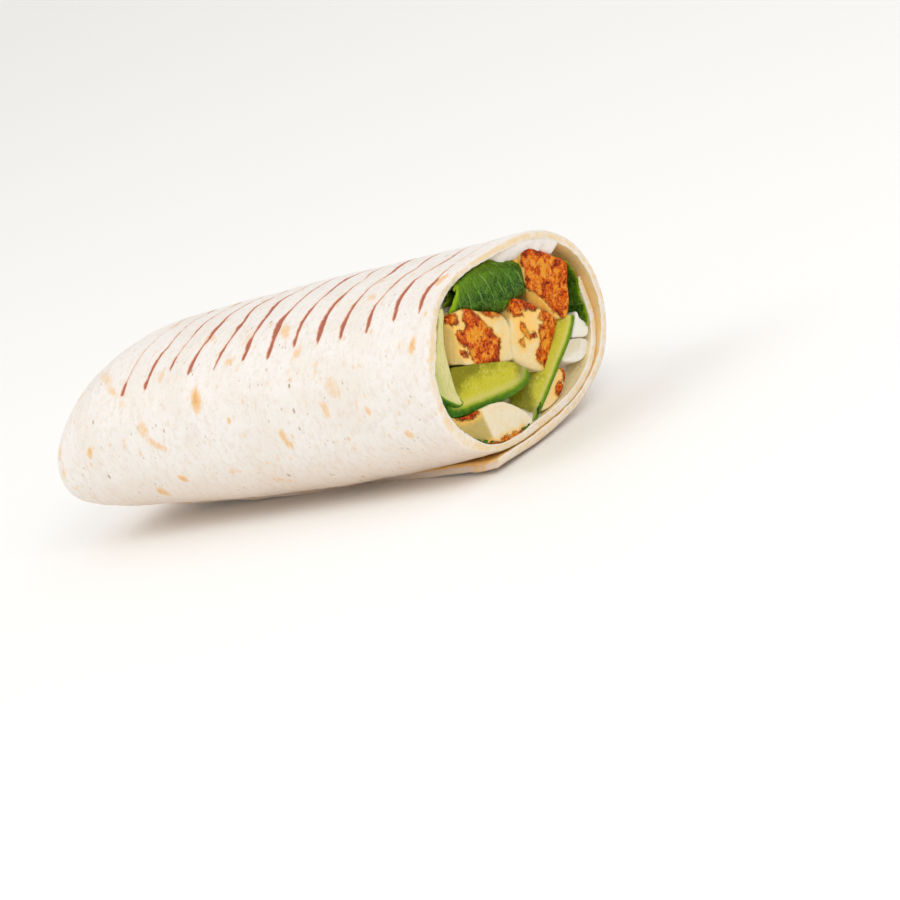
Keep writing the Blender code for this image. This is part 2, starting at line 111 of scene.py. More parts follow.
# The rim all round: (angle, how far it sits behind the cut in mm, share of the thickness,
# how far it flares outwards in mm).
RIM_SHAPE = ((20, 0.0, 1.0, 0.0), (40, 0.0, 1.05, 0.25), (60, 0.0, 1.1, 0.5), (80, 0.0, 1.12, 0.5),
             (90, 0.3, 1.0, 0.45), (100, 1.1, 0.8, 0.35), (107, 1.8, 0.85, 0.2),
             (114, 2.2, 1.0, 0.1), (122, 1.9, 1.05, 0.0), (132, 0.7, 1.1, 0.0),
             (142, -0.4, 1.2, 0.0), (155, -0.7, 1.3, 0.0), (168, -0.6, 1.12, 0.0),
             (180, -0.5, 1.2, 0.0), (195, -0.3, 1.45, 0.0), (205, -0.1, 1.58, 0.0),
             (215, 0.0, 1.6, 0.0), (223, 0.0, 1.42, 0.0), (232, 0.0, 1.0, 0.0),
             (243, 0.0, 0.78, 0.0), (252, 0.0, 0.78, 0.0), (266, 0.0, 1.0, 0.0))

# From the roll's middle to the frame's origin.
TORTILLA_LOW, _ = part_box("tortilla")
HOME = Vector((TORTILLA_LOW[0] - TAIL_END_X, 0.0, TORTILLA_LOW[2] - FLOOR))


# ---- settings -------------------------------------------------------------------------

def tone(red, green, blue):
    """A colour given as display values from 0 to 255."""
    return tuple(v / 12.92 if v <= 0.04045 else ((v + 0.055) / 1.055) ** 2.4
                 for v in (red / 255, green / 255, blue / 255))


def colour(name, description, default):
    return FloatVectorProperty(name=name, description=description, subtype="COLOR",
                               size=3, min=0.0, max=1.0, default=default)


def length(name, description, default):
    return FloatProperty(name=name, description=description, default=default, min=0.0,
                         unit="LENGTH", subtype="DISTANCE", precision=5)


class WrapTortillaSettings(bpy.types.PropertyGroup):
    """Colours and relief of the tortilla."""
    cream: colour("Cream", "The untoasted sheet", tone(239, 234, 229))
    shade: colour("Shade", "Faint darker mottles in the sheet", tone(228, 216, 202))
    # Underside: painted shade with a warm painted reflection on the roll's lower side; the same
    # colour also tints the fine mottles.
    under: colour("Underside", "The browner lower side", tone(222, 190, 156))
    toast: colour("Toast", "Lightly toasted spots", tone(236, 190, 126))
    toast_deep: colour("Deep toast", "The middle of the strongest spots", tone(214, 142, 66))
    speck: colour("Speck", "Tiny dark specks", tone(166, 142, 94))
    mark: colour("Grill mark", "The middle of a grill mark", tone(174, 104, 84))
    mark_edge: colour("Mark edge", "The thin browned edge of a grill mark", tone(212, 142, 112))
    crumb: colour("Crumb", "The sheet's cut rim", tone(236, 210, 164))
    # golden is the inside face's own colour, deepened into painted shade up on the right; glow is
    # a lighter copy of it, painted light lower round the roll and on the inner ply.
    golden: colour("Golden face", "The face turned to the filling", tone(246, 190, 104))
    glow: colour("Light golden face", "The same face low on the right", tone(255, 242, 190))
    waves: length("Waves", "Height of the broad unevenness", 0.00022)
    groove: length("Groove", "Depth of a grill mark", 0.00012)


class WrapHalloumiSettings(bpy.types.PropertyGroup):
    """Colours and relief of the cheese."""
    pale: colour("Pale", "Cut cheese", tone(232, 214, 166))
    white: colour("White", "Fresh crumbs", tone(234, 230, 218))
    warm: colour("Warm", "Cheese next to a browned patch", tone(246, 194, 92))
    # golden and olive side faces are painted darker: golden is partly the cheese's own colour and
    # partly painted shade, olive is painted shade tinted green beside the cucumber
    golden: colour("Golden side", "Side faces that have taken colour", tone(255, 194, 84))
    olive_shade: colour("Olive side", "Side faces that lie against cucumber", tone(188, 166, 92))
    gold: colour("Gold", "Lightly fried crust", tone(255, 158, 14))
    brown: colour("Brown", "Well fried crust", tone(226, 88, 0))
    dark: colour("Dark", "The darkest crust", tone(118, 24, 0))
    crust: length("Crust", "Height of the wrinkles in the crust", 0.00016)


class WrapCucumberSettings(bpy.types.PropertyGroup):
    """Colours of the cucumber."""
    lime: colour("Lime", "Bright wet flesh", tone(198, 190, 46))
    olive_shade: colour("Olive", "Shaded flesh", tone(128, 122, 4))
    pale: colour("Pale", "Pale flesh of a thin slice", tone(214, 206, 144))
    under: colour("Under the skin", "Green line beside the skin", tone(140, 164, 20))
    skin: colour("Skin", "Dark skin", tone(36, 98, 2))


class WrapSpinachSettings(bpy.types.PropertyGroup):
    """Colours and relief of the leaves."""
    # deep and fresh: the blade is painted darker in its hollows and fresher green on its raised
    # parts, as painted shade and light, with random patches
    deep: colour("Deep green", "The blade", tone(26, 64, 0))
    fresh: colour("Fresh green", "Raised parts of the blade", tone(66, 112, 0))
    # lime is the torn edge's own colour and is also painted as light on the top of the folded leaf
    lime: colour("Lime edge", "The leaf's torn edge", tone(144, 180, 8))
    vein: colour("Vein", "Pale veins", tone(132, 172, 74))
    pucker: length("Pucker", "Height of the blade between the veins", 0.00022)


class WrapSauceSettings(bpy.types.PropertyGroup):
    """Colours of the sauce."""
    white: colour("White", "The sauce itself", tone(236, 226, 218))
    # The tinted colour is painted shade: an olive-brown that stands for the shadow deep between
    # the pieces.
    tint_and_shade: colour("Tinted", "Sauce that leaf and cheese have tinted", tone(166, 146, 76))


class WrapStudioSettings(bpy.types.PropertyGroup):
    """The floor, the lights and the lens."""
    floor: colour("Floor", "The plain floor", tone(251, 250, 248))
    lens: FloatProperty(name="Lens", description="Focal length on a 36 mm sensor",
                        default=144.37, min=10.0, max=400.0)
    key: FloatProperty(name="Key light", description="Strength of the light from the tail's side",
                       default=2.15, min=0.0, subtype="POWER")
    fill: FloatProperty(name="Fill light", description="Strength of the light before the cut",
                        default=2.3, min=0.0, subtype="POWER")
    sky: FloatProperty(name="Surround", description="Brightness of the pale surround",
                       default=0.84, min=0.0)


# ---- the roll's shape -----------------------------------------------------------------

def smooth_step(value):
    value = min(1.0, max(0.0, value))
    return value * value * (3 - 2 * value)


def closing(x, rule):
    """Share of a size that is left at station x, by a (start, sharpness, roundness) rule."""
    start, sharpness, roundness = rule
    if x >= start:
        return 1.0
    gone = min(1.0, (start - x) / (start - TIP_X))
    return max(0.0, 1 - gone ** sharpness) ** (1 / roundness)


def section(x):
    """Half width, middle height and half height of the skin at station x."""
    reach = x / TAPER_REACH
    width = HALF_WIDTH + WIDTH_TAPER[0] * reach + WIDTH_TAPER[1] * reach ** 2
    height = HALF_HEIGHT + HEIGHT_TAPER[0] * reach + HEIGHT_TAPER[1] * reach ** 2
    middle = ARCH * reach ** 2
    tip = middle - height + 2 * height * TIP_HEIGHT_SHARE
    top = tip + (middle + height - tip) * closing(x, TOP_SLOPE)
    low = tip + (middle - height - tip) * closing(x, BOTTOM_SLOPE)
    width *= TIP_WIDTH_SHARE + (1 - TIP_WIDTH_SHARE) * closing(x, SIDE_CLOSING)
    return width, (top + low) / 2, max((top - low) / 2, 1e-5)


def skin(oval, degrees, depth):
    """Point (y, z) that lies depth inside the outer skin with a section's oval."""
    width, middle, height = oval
    c = math.cos(math.radians(degrees))
    s = math.sin(math.radians(degrees))
    y = width * math.copysign(abs(c) ** (2 / SQUARENESS), c)
    z = max(middle + height * math.copysign(abs(s) ** (2 / SQUARENESS), s), FLOOR)
    power = 2 - 2 / SQUARENESS
    ny = math.copysign(abs(c) ** power, c) / width
    nz = math.copysign(abs(s) ** power, s) / height
    size = math.hypot(ny, nz)
    return y - ny / size * depth, max(z - nz / size * depth, FLOOR)


def slant(y, z):
    """How far the slanted cut face stands forward at (y, z)."""
    return SLANT_Y * y + SLANT_Z * z


def ply_depth(degrees):
    """Depth of the sheet's outer face below the skin, before the seam's lift."""
    if degrees >= TUCK_END - 360:
        return smooth_step((degrees - TUCK_START) / (TUCK_END - TUCK_START)) * (SHEET + PLY_GAP)
    return ply_depth(degrees + 360) - SHEET - PLY_GAP


def seam_angle(x):
    share = smooth_step((CUT_X - x) / SEAM_DRIFT)
    wobble = 0.9 * noise.noise(Vector((x / 0.007, 3.1, 0.4)))
    return SEAM_ANGLE + (SEAM_ANGLE_BACK - SEAM_ANGLE) * share + wobble


def outer_depth(x, degrees):
    """Depth of the sheet's outer face with the seam's lift near the cut."""
    near_seam = max(0.0, (TUCK_END - 360 - degrees) / (TUCK_END - 360 - SEAM_ANGLE))
    near_cut = smooth_step(1 - (CUT_X - x) / SEAM_LIFT_REACH)
    return ply_depth(degrees) - SEAM_LIFT * min(1.0, near_seam) ** 5 * near_cut


def rim_shape(degrees):
    """Recess in mm, share of the thickness and outward flare in mm of the rim at an angle."""
    angles, *columns = zip(*RIM_SHAPE)
    return [float(np.interp(degrees, angles, column)) for column in columns]


def pressed(x, degrees):
    """Share of the sheet's thickness near its rim, where the filling pinches or frays it."""
    near_cut = smooth_step(1 - (CUT_X - x) / PINCH_REACH)
    if near_cut == 0:
        return 1.0
    ragged = 0.10 * noise.noise(Vector((degrees / 5, 0, 0)))
    ragged += 0.07 * noise.noise(Vector((degrees / 2, 7, 0)))
    return 1 + (rim_shape(degrees)[1] - 1) * near_cut + ragged * near_cut ** 3


def keep_inside(x, y, z, gap=0.00012):
    """The point, pulled back if it would stick through the rolled sheet's inner face."""
    width, middle, height = section(x)
    power = SQUARENESS / 2
    a = math.degrees(math.atan2(math.copysign(abs((z - middle) / height) ** power, z - middle),
                                math.copysign(abs(y / width) ** power, y)))
    a = a + 360 if a < INNER_ANGLE - 360 else a
    inner = Vector(skin((width, middle, height), a,
                        outer_depth(x, a) + SHEET * pressed(x, a) + gap))
    reach = (inner - Vector((0, middle))).length
    here = math.hypot(y, z - middle)
    if here <= reach:
        return y, z
    return y * reach / here, middle + (z - middle) * reach / here


def follow_roll(x, y, z):
    """A point of the cut face's outline carried back to station x with the roll's taper."""
    width, middle, height = section(x)
    cut_width, _, cut_height = section(CUT_X)
    plies = 2 * SHEET + PLY_GAP
    return (y * (width - plies) / (cut_width - plies),
            middle + z * (height - plies) / (cut_height - plies))


def rough(x, y, z, size, octaves):
    """Smooth noise from about -1 to 1 whose lumps are size across."""
    return noise.fractal(Vector((x, y, z)) / size, 0.9, 2.1, octaves)


# ---- mesh helpers ---------------------------------------------------------------------

def grid(bm, columns, rows):
    """A flat grid's points as {(column, row): vertex}."""
    made = bmesh.ops.create_grid(bm, x_segments=columns, y_segments=rows, size=0.5)["verts"]
    return {(round((v.co.x + 0.5) * columns), round((v.co.y + 0.5) * rows)): v for v in made}


def loft(rings, values=None):
    """A closed body through rings of equally many points, filled at both ends.

    values gives, for each named layer, a list of rings of numbers.
    """
    bm = bmesh.new()
    count = len(rings[0])
    layers = {name: bm.verts.layers.float.new(name) for name in values or {}}
    points = grid(bm, count, len(rings) - 1)
    for (i, j), vertex in points.items():
        vertex.co = rings[j][i % count]
        for name, layer in layers.items():
            vertex[layer] = values[name][j][i % count]
    seam = [points[i, j] for i in (0, count) for j in range(len(rings))]
    bmesh.ops.remove_doubles(bm, verts=seam, dist=1e-7)
    ends = [e for e in bm.edges if e.is_boundary]
    filled = bmesh.ops.holes_fill(bm, edges=ends, sides=0)["faces"]
    bmesh.ops.triangulate(bm, faces=filled, ngon_method="BEAUTY")
    return bm


def finished(bm, name, material):
    """A smooth-shaded object at the origin from a bmesh in the roll's own frame."""
    bmesh.ops.translate(bm, verts=bm.verts, vec=HOME)
    bmesh.ops.recalc_face_normals(bm, faces=bm.faces)
    mesh = bpy.data.meshes.new(name)
    bm.to_mesh(mesh)
    bm.free()
    mesh.shade_smooth()
    mesh.materials.append(material)
    made = bpy.data.objects.new(name, mesh)
    bpy.context.scene.collection.objects.link(made)
    return made


def serve(piece, slot, *nodes):
    """Say what a piece rides on and stands for."""
    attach(piece, "root")
    if nodes:
        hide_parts(*nodes)


# ---- material helpers -----------------------------------------------------------------

class Recipe:
    """A material's node graph, built step by step."""

    def __init__(self, name, **sockets):
        self.material = bpy.data.materials.new(name)
        self.material.use_nodes = True
        self.tree = self.material.node_tree
        self.shader = self.tree.nodes["Principled BSDF"]
        for socket, value in sockets.items():
            self.shader.inputs[socket.replace("_", " ")].default_value = value

    def put(self, kind, inputs=(), **settings):
        """A node with settings on itself and values or links on its inputs."""
        made = self.tree.nodes.new("ShaderNode" + kind)
        for name, value in settings.items():
            setattr(made, name, value)
        for socket, value in dict(inputs).items():
            if isinstance(value, bpy.types.NodeSocket):
                self.tree.links.new(value, made.inputs[socket])
            else:
                made.inputs[socket].default_value = value
        return made

    def layer(self, name, vector=False):
        """A number, or a position, that the mesh stores on its points."""
        made = self.put("Attribute", attribute_name=name, attribute_type="GEOMETRY")
        return made.outputs["Vector" if vector else "Fac"]

    def place(self):
        """Object coordinates in millimetres."""
        found = self.put("TexCoord").outputs["Object"]
        return self.put("VectorMath", {0: found, 1: (1000, 1000, 1000)},
                        operation="MULTIPLY").outputs[0]

    def stretched(self, vector, scale):
        return self.put("Mapping", {"Vector": vector, "Scale": scale}).outputs[0]

    def noise(self, vector, size, detail=3.0, roughness=0.55, distortion=0.0):
        """Noise from 0 to 1 whose lumps are about size millimetres across."""
        made = self.put("TexNoise", {"Vector": vector, "Scale": 1 / size, "Detail": detail,
                                     "Roughness": roughness, "Distortion": distortion})
        return made.outputs["Fac"]

    def cell_edges(self, vector, size):
        """Distance to the nearest border between cells about size millimetres across."""
        made = self.put("TexVoronoi", {"Vector": vector, "Scale": 1 / size},
                        feature="DISTANCE_TO_EDGE")
        return made.outputs["Distance"]

    def math(self, operation, first, *others):
        """One operation on numbers and outputs, from left to right."""
        total = first
        for value in others or (0.0,):
            total = self.put("Math", {0: total, 1: value}, operation=operation).outputs[0]
        return total

    def sum(self, *values):
        return self.math("ADD", *values)

    def times(self, *values):
        return self.math("MULTIPLY", *values)

    def less(self, first, second):
        return self.math("SUBTRACT", first, second)

    def swing(self, value, share):
        """How far a noise is from its middle, times a share."""
        return self.times(self.less(value, 0.5), share)

    def band(self, value, low, high, smooth=True):
        """0 below low, 1 above high, and the other way round when low is above high."""
        made = self.put("MapRange", {"Value": value, "From Min": low, "From Max": high},
                        interpolation_type="SMOOTHSTEP" if smooth else "LINEAR", clamp=True)
        return made.outputs[0]

    def mix(self, share, first, second):
        """The second colour over the first one by a share."""
        made = self.put("Mix", data_type="RGBA", blend_type="MIX", clamp_factor=True)
        sockets = {"Factor": made.inputs[0], "A": made.inputs[6], "B": made.inputs[7]}
        for key, value in (("Factor", share), ("A", first), ("B", second)):
            if isinstance(value, bpy.types.NodeSocket):
                self.tree.links.new(value, sockets[key])
            elif key == "Factor":
                sockets[key].default_value = value
            else:
                sockets[key].default_value = tuple(value) + (1.0,)
        return made.outputs[2]

    def finish(self, base, rough_value, height, distance):
        """Colour, roughness and bump into the shader."""
        self.tree.links.new(base, self.shader.inputs["Base Color"])
        if rough_value is not None:
            self.tree.links.new(rough_value, self.shader.inputs["Roughness"])
        bump = self.put("Bump", {"Height": height, "Distance": distance, "Strength": 1.0})
        self.tree.links.new(bump.outputs[0], self.shader.inputs["Normal"])
        return self.material


# ---- the tortilla ---------------------------------------------------------------------

GRILL_PITCH = 7.6                    # mm between grill marks
TURN_COLUMNS = 190
OVERLAP_COLUMNS = 56
INNER_RADIUS = 0.0004
OUTER_RADIUS = 0.0009
RIM_STEPS = 4
CORNER_STEPS = 4
SEAM_RADIUS = 0.00045
KNIFE_REACH = 0.004                  # the cut's unevenness fades out over this much X
SHALLOW_RELIEF = 0.00008             # of hidden faces and toasted spots
TAIL_ROWS = 34
MERGE_DISTANCE = 2e-6                # points of the sheet and the tail that are one

# Rings along the sheet: close together on its inner face near the rim, then wider.
FINE_STEP, FINE_RINGS = 0.0006, 23
COARSE_START, COARSE_STEP = 0.0150, 0.0055
OUTER_STEP = 0.0005
# Columns beside the two free edges, as shares of the turn and of the overlap.
SEAM_EDGE_SHARES = (0.0, 0.0009, 0.0021, 0.0036)
INNER_EDGE_SHARES = (0.006, 0.003, 0.0012, 0.0)

# The grill marks from the tail to the cut. Each is a line of (place round the roll, drift
# along it, width) in mm, from its end on the near side up to the top of the roll. Another
# program measured them in the photograph, and most of its values are kept unchanged.
GRILL_MARKS = (
    ((64.5, -0.5, 1.7), (62, -0.3, 1.5), (61, -0.1, 0.4), (58, 0.2, 0.25), (45, 0.0, 0.12),
     (39, 0.0, 0.3)),
    ((64.3, -0.6, 1.2), (63, -0.8, 2.1), (61.5, -0.4, 1.2), (58, -0.2, 1.6), (54, 0.1, 1.2),
     (52, 0.6, 0.65), (47, 0.2, 0.6), (42, -0.5, 0.45), (39, -1.2, 0.35)),
    ((60.7, -0.9, 0.6), (59.5, -1.0, 1.4), (57, -0.9, 1.0), (55, -0.6, 0.35), (51, -0.1, 0.35),
     (47, -0.6, 1.3), (43, -1.0, 0.8), (37, -1.3, 0.75)),
    ((63.2, -1.7, 1.0), (61, -1.4, 1.9), (58, -1.1, 1.4), (55.5, -0.7, 0.85), (53, 0.0, 1.3),
     (50, -0.6, 2.2), (47, -0.4, 1.8), (43, -1.4, 1.0), (38, -1.9, 0.4)),
    ((63.2, -1.0, 0.6), (61, -0.5, 1.0), (59, -0.2, 1.8), (56, 0.6, 0.7), (53, 0.8, 1.1),
     (51, 0.6, 2.7), (49, 0.7, 1.5), (45, -0.6, 1.2), (41, -1.7, 1.3), (37, -2.1, 0.8)),
    ((62.3, 0.3, 1.4), (60, 0.7, 1.7), (58, 0.5, 2.4), (56, 0.7, 0.8), (53, 0.8, 1.6),
     (49, 0.4, 1.5), (45, -0.7, 1.9), (41, -1.5, 1.3), (37, -2.1, 0.4)),
    ((63.4, 0.7, 1.2), (61.5, 0.8, 2.1), (59, 0.8, 1.4), (56, 0.5, 2.9), (53, -0.1, 2.7),
     (50, 0.2, 1.5), (48, 0.3, 0.9), (44, -0.1, 0.95), (40, -0.7, 1.0), (37, -1.1, 1.2)),
    ((61.8, 0.9, 1.0), (61, 0.7, 1.6), (59, 0.6, 1.2), (55, 0.3, 1.6), (51, 0.5, 1.4),
     (48, 0.7, 0.4), (45, 0.7, 1.0), (40, -0.1, 1.5), (37, 0.3, 0.9)),
    ((62.2, 0.4, 0.8), (60, 0.2, 2.1), (57.5, 0.0, 2.5), (55, -0.2, 1.7), (51, -0.1, 1.6),
     (49, 0.2, 2.0), (46, 0.4, 0.9), (43, 0.6, 0.6), (41, 1.3, 0.2), (38, 1.5, 1.1)),
    ((62.3, -0.3, 1.2), (59, -0.7, 2.0), (56, -0.6, 1.4), (53, -0.6, 1.4), (50, -0.2, 0.75),
     (47, -0.3, 0.6), (44, 0.8, 0.4), (41, 1.4, 1.3), (37, 1.8, 0.6)),
    ((62.2, -0.1, 0.8), (60, -0.2, 1.9), (58, -0.5, 1.7), (55, -0.7, 0.9), (51, 0.0, 0.45),
     (49, 0.1, 0.95), (45, 0.3, 0.8), (41, 1.2, 0.6), (38, 1.9, 0.3)),
    ((60.8, 0.1, 0.6), (60, -0.1, 1.7), (58, -0.3, 1.5), (55, -1.0, 1.9), (51, -1.1, 1.8),
     (48, -1.3, 1.2), (46, -0.5, 0.5), (43, 0.5, 0.6), (39, 1.3, 1.3), (37, 1.1, 1.1)),
    ((60.2, 0.0, 0.4), (58, -0.2, 1.6), (55, -0.6, 1.8), (52.5, -0.7, 2.0), (51, -0.3, 1.9),
     (49.5, -0.8, 0.6), (46, -1.0, 0.45), (42, -0.5, 0.2), (38, -0.2, 0.7)),
)
NO_MARK = -0.35
MARK_SHARE = 0.74                    # the marks are a little narrower than they smear to

# Toasted spots: (station, place round the roll, half length, half width) in mm, the
# length's angle from the roll's axis in degrees, and strength. They were picked in the
# photograph, and another program turned their places into millimetres.
TOASTED_SPOTS = (
    (-17.2, 69.8, 2.2, 1.2, 87, 1.0), (-35.5, 74.0, 2.4, 1.3, 77, 0.6),
    (-32.5, 78.0, 3.2, 0.9, 36, 0.65), (-51.0, 57.9, 4.6, 1.0, 42, 0.6),
    (-46.5, 62.6, 2.9, 0.8, 38, 0.6), (-41.7, 67.2, 1.4, 1.0, 46, 0.45),
    (-30.1, 61.8, 1.5, 0.8, 88, 0.6), (-7.9, 62.2, 1.3, 0.8, 2, 0.65),
    (-19.0, 52.5, 2.3, 1.4, 68, 0.6), (-4.3, 56.5, 1.7, 1.4, 100, 0.5),
    (-0.7, 59.6, 0.8, 0.5, 101, 0.5), (7.5, 57.0, 2.5, 1.2, 54, 0.65),
    (13.7, 63.6, 1.5, 1.0, 107, 0.65), (19.9, 67.2, 0.7, 0.7, 111, 0.6),
    (19.7, 69.7, 0.6, 0.5, 106, 0.5), (11.8, 67.9, 1.3, 0.6, 100, 0.4),
    (5.4, 69.3, 0.9, 0.6, 13, 0.45), (24.7, 73.0, 2.2, 1.6, 47, 0.55),
    (21.0, 77.3, 1.7, 0.8, 86, 0.65), (6.1, 81.1, 1.5, 0.8, 78, 0.8),
    (6.9, 83.1, 1.1, 1.0, 71, 0.7), (-7.9, 75.5, 0.6, 0.5, 114, 0.9),
    (-5.0, 79.5, 0.8, 0.7, 48, 0.45), (33.1, 79.2, 0.9, 0.6, 65, 0.8),
    (30.5, 77.2, 1.4, 0.5, 110, 0.4), (29.6, 80.3, 0.9, 0.5, -22, 0.45),
    (48.9, 67.5, 1.5, 0.7, 99, 0.95), (45.3, 67.4, 1.1, 0.9, 103, 0.45),
    (30.6, 51.9, 0.9, 1.3, -52, 0.65), (28.6, 44.7, 1.4, 1.4, -17, 0.55),
    (50.7, 50.8, 1.5, 1.1, -98, 0.85), (41.5, 86.6, 1.3, 0.8, 32, 0.75),
    (20.5, 84.5, 2.2, 0.5, 7, 0.35), (-54.7, 77.0, 1.3, 0.7, 110, 0.95),
    (-47.1, 76.3, 0.5, 0.5, 108, 0.8), (-29.9, 87.8, 1.1, 0.8, 41, 1.0),
    (-39.5, 91.5, 1.4, 1.1, 56, 0.9), (-13.2, 87.7, 2.0, 0.6, 6, 0.55),
    (-2.8, 92.5, 2.7, 0.8, 29, 0.5), (-25.2, 83.4, 1.0, 0.8, 45, 0.45),
    (-60.8, 58.1, 1.8, 0.7, -101, 0.65), (-66.0, 72.0, 2.4, 0.8, 95, 0.6),
    (-66.4, 79.6, 2.6, 0.9, 107, 0.55), (-64.3, 85.8, 1.1, 1.0, 74, 0.45),
    (7.0, 97.7, 2.9, 1.2, 11, 0.3), (-41.5, 39.1, 1.4, 1.6, -4, 0.5),
    (-18.9, 46.6, 0.8, 1.4, -20, 0.45), (-12.4, 38.3, 1.0, 2.2, -77, 0.5),
    (-47.2, 97.5, 2.0, 1.0, 34, 0.45), (-52.8, 75.9, 0.8, 0.5, 63, 0.4),
    (1.7, 85.5, 0.7, 0.5, 10, 0.4),
)
FAR_SPOTS = 70                       # more of them where the far side is
FAR_SPOT_ROUND = (-58.0, 34.0)
FAR_SPOT_ALONG = (-66, 52)
SPOT_SEED = 11


def girth_table():
    """Angles and the way round the roll to them, in mm, at the middle of the roll."""
    degrees = np.linspace(0, 360, 1441)
    width, _, height = section(0.0)
    c, s = np.cos(np.radians(degrees)), np.sin(np.radians(degrees))
    y = width * np.sign(c) * np.abs(c) ** (2 / SQUARENESS)
    z = height * np.sign(s) * np.abs(s) ** (2 / SQUARENESS)
    steps = np.hypot(np.diff(y), np.diff(z)) / MM
    return degrees, np.concatenate(([0.0], np.cumsum(steps)))


GIRTH_DEGREES, GIRTH_WAY = girth_table()
GIRTH = GIRTH_WAY[-1]
TOP_WAY = GIRTH / 4


def way_round(degrees):
    """Place round the roll, in mm from the +Y side, of angles in degrees."""
    turns = np.floor(degrees / 360)
    return turns * GIRTH + np.interp(degrees - turns * 360, GIRTH_DEGREES, GIRTH_WAY)


def grill_values(stations, ways):
    """Half width and drift of the nearest grill mark, in mm, at points of the skin."""
    number = np.round(stations / GRILL_PITCH + len(GRILL_MARKS) / 2).astype(int)
    half = np.full(stations.shape, NO_MARK)
    drift = np.zeros(stations.shape)
    for index in range(1, len(GRILL_MARKS) + 1):
        here = number == index
        near = GRILL_MARKS[index - 1]
        far = [(2 * TOP_WAY - way, shift, width)
               for way, shift, width in GRILL_MARKS[len(GRILL_MARKS) - index]]
        line = sorted([p for p in near if p[0] > 38] + [p for p in far if p[0] < 36])
        way, shift, width = (np.array(v) for v in zip(*line))
        half[here] = np.interp(ways[here], way, width * MARK_SHARE / 2)
        drift[here] = np.interp(ways[here], way, shift)
        beyond = np.maximum(way[0] - ways[here], ways[here] - way[-1])
        half[here] = np.where(beyond > 0, half[here] - 1.1 * beyond, half[here])
    return np.maximum(half, NO_MARK), drift


def toast_values(stations, ways):
    """Strength of the toasted spots at points of the skin."""
    chance = random.Random(SPOT_SEED)
    spots = list(TOASTED_SPOTS)
    for _ in range(FAR_SPOTS):
        reach = chance.choice((0.5, 0.8, 1.2, 1.8, 2.6))
        spots.append((chance.uniform(*FAR_SPOT_ALONG), chance.uniform(*FAR_SPOT_ROUND), reach,
                      reach * chance.uniform(0.35, 0.75), chance.uniform(30, 130),
                      chance.uniform(0.35, 1.0)))
    total = np.zeros(stations.shape)
    for station, way, long, wide, tilt, strength in spots:
        along, across = stations - station, ways - way
        c, s = math.cos(math.radians(tilt)), math.sin(math.radians(tilt))
        far = np.hypot((along * c + across * s) / long, (across * c - along * s) / wide)
        total = np.maximum(total, strength * np.clip(1.5 - far * 0.75, 0, 1))
    return total


def sheet_profile():
    """(distance behind the cut, depth in the sheet) from inside round the rim to outside."""
    reach = CUT_X - TAIL_X
    fine = [INNER_RADIUS + FINE_STEP * i for i in range(1, FINE_RINGS + 1)]
    coarse = [COARSE_START + COARSE_STEP * i
              for i in range(int((reach - COARSE_START) / COARSE_STEP) + 1)]
    inner = fine + coarse[:-1] + [reach]
    corner = [math.pi / 2 * i / CORNER_STEPS for i in range(CORNER_STEPS + 1)]
    inside = [(INNER_RADIUS * (1 - math.sin(a)), SHEET - INNER_RADIUS * (1 - math.cos(a)))
              for a in corner]
    outside = [(OUTER_RADIUS * (1 - math.cos(a)), OUTER_RADIUS * (1 - math.sin(a)))
               for a in corner]
    low, high = SHEET - INNER_RADIUS, OUTER_RADIUS
    flat = [(0.0, low + (high - low) * i / RIM_STEPS) for i in range(1, RIM_STEPS)]
    steps = round((reach - OUTER_RADIUS) / OUTER_STEP)
    outer = [(OUTER_RADIUS + (reach - OUTER_RADIUS) * i / steps, 0.0) for i in range(1, steps + 1)]
    return [(d, SHEET) for d in reversed(inner)] + inside + flat + outside + outer


def turn_shares():
    return list(SEAM_EDGE_SHARES) + [i / TURN_COLUMNS for i in range(1, TURN_COLUMNS + 1)]


def overlap_shares():
    steps = [i / OVERLAP_COLUMNS for i in range(1, OVERLAP_COLUMNS)]
    return steps + [1 - share for share in INNER_EDGE_SHARES]


def sheet_angles(x):
    """Angles of the sheet's columns: one full turn from the seam, then the overlap."""
    start = seam_angle(x)
    turn = [start + 360 * share for share in turn_shares()]
    rest = INNER_ANGLE - turn[-1]
    return turn + [turn[-1] + rest * share for share in overlap_shares()]


def skin_relief(settings, x, way, half, drift, toast):
    """How far the outer face stands out of the smooth skin."""
    station = x / MM
    wave = settings.waves * rough(station / 14, way / 20, 0.0, 1.0, 3)
    rings = 0.25 * settings.waves * rough(station / 2.2, way / 16, 5.0, 1.0, 2)
    folds = smooth_step((-station - 40) / 14) * 0.9 * settings.waves
    folds *= rough(station / 2.6, way / 34, 9.0, 1.0, 2)
    nearest = abs((station - drift) / GRILL_PITCH + 0.5)
    off = abs(nearest - round(nearest)) * GRILL_PITCH
    groove = settings.groove * smooth_step((half + 0.3 - off) / 0.5) if half > 0 else 0.0
    return wave + rings + folds - groove + SHALLOW_RELIEF * toast


def rim_shift(way, depth):
    """How far the knife left the rim forward or back."""
    broad = 0.00030 * noise.noise(Vector((way / 9, 1.7, 0)))
    torn = 0.00018 * noise.noise(Vector((way / 1.6, depth / 0.0009, 4.2)))
    crumb = 0.00010 * noise.noise(Vector((way / 0.6, depth / 0.0004, 8.8)))
    return broad, torn + crumb


def edge_pull(way_from_edge):
    """Share of the sheet's half thickness that is gone at its rounded free edges."""
    inside = min(1.0, max(0.0, way_from_edge * MM / SEAM_RADIUS))
    return (1 - math.sqrt(1 - (1 - inside) ** 2)) * SEAM_RADIUS / (SHEET / 2)


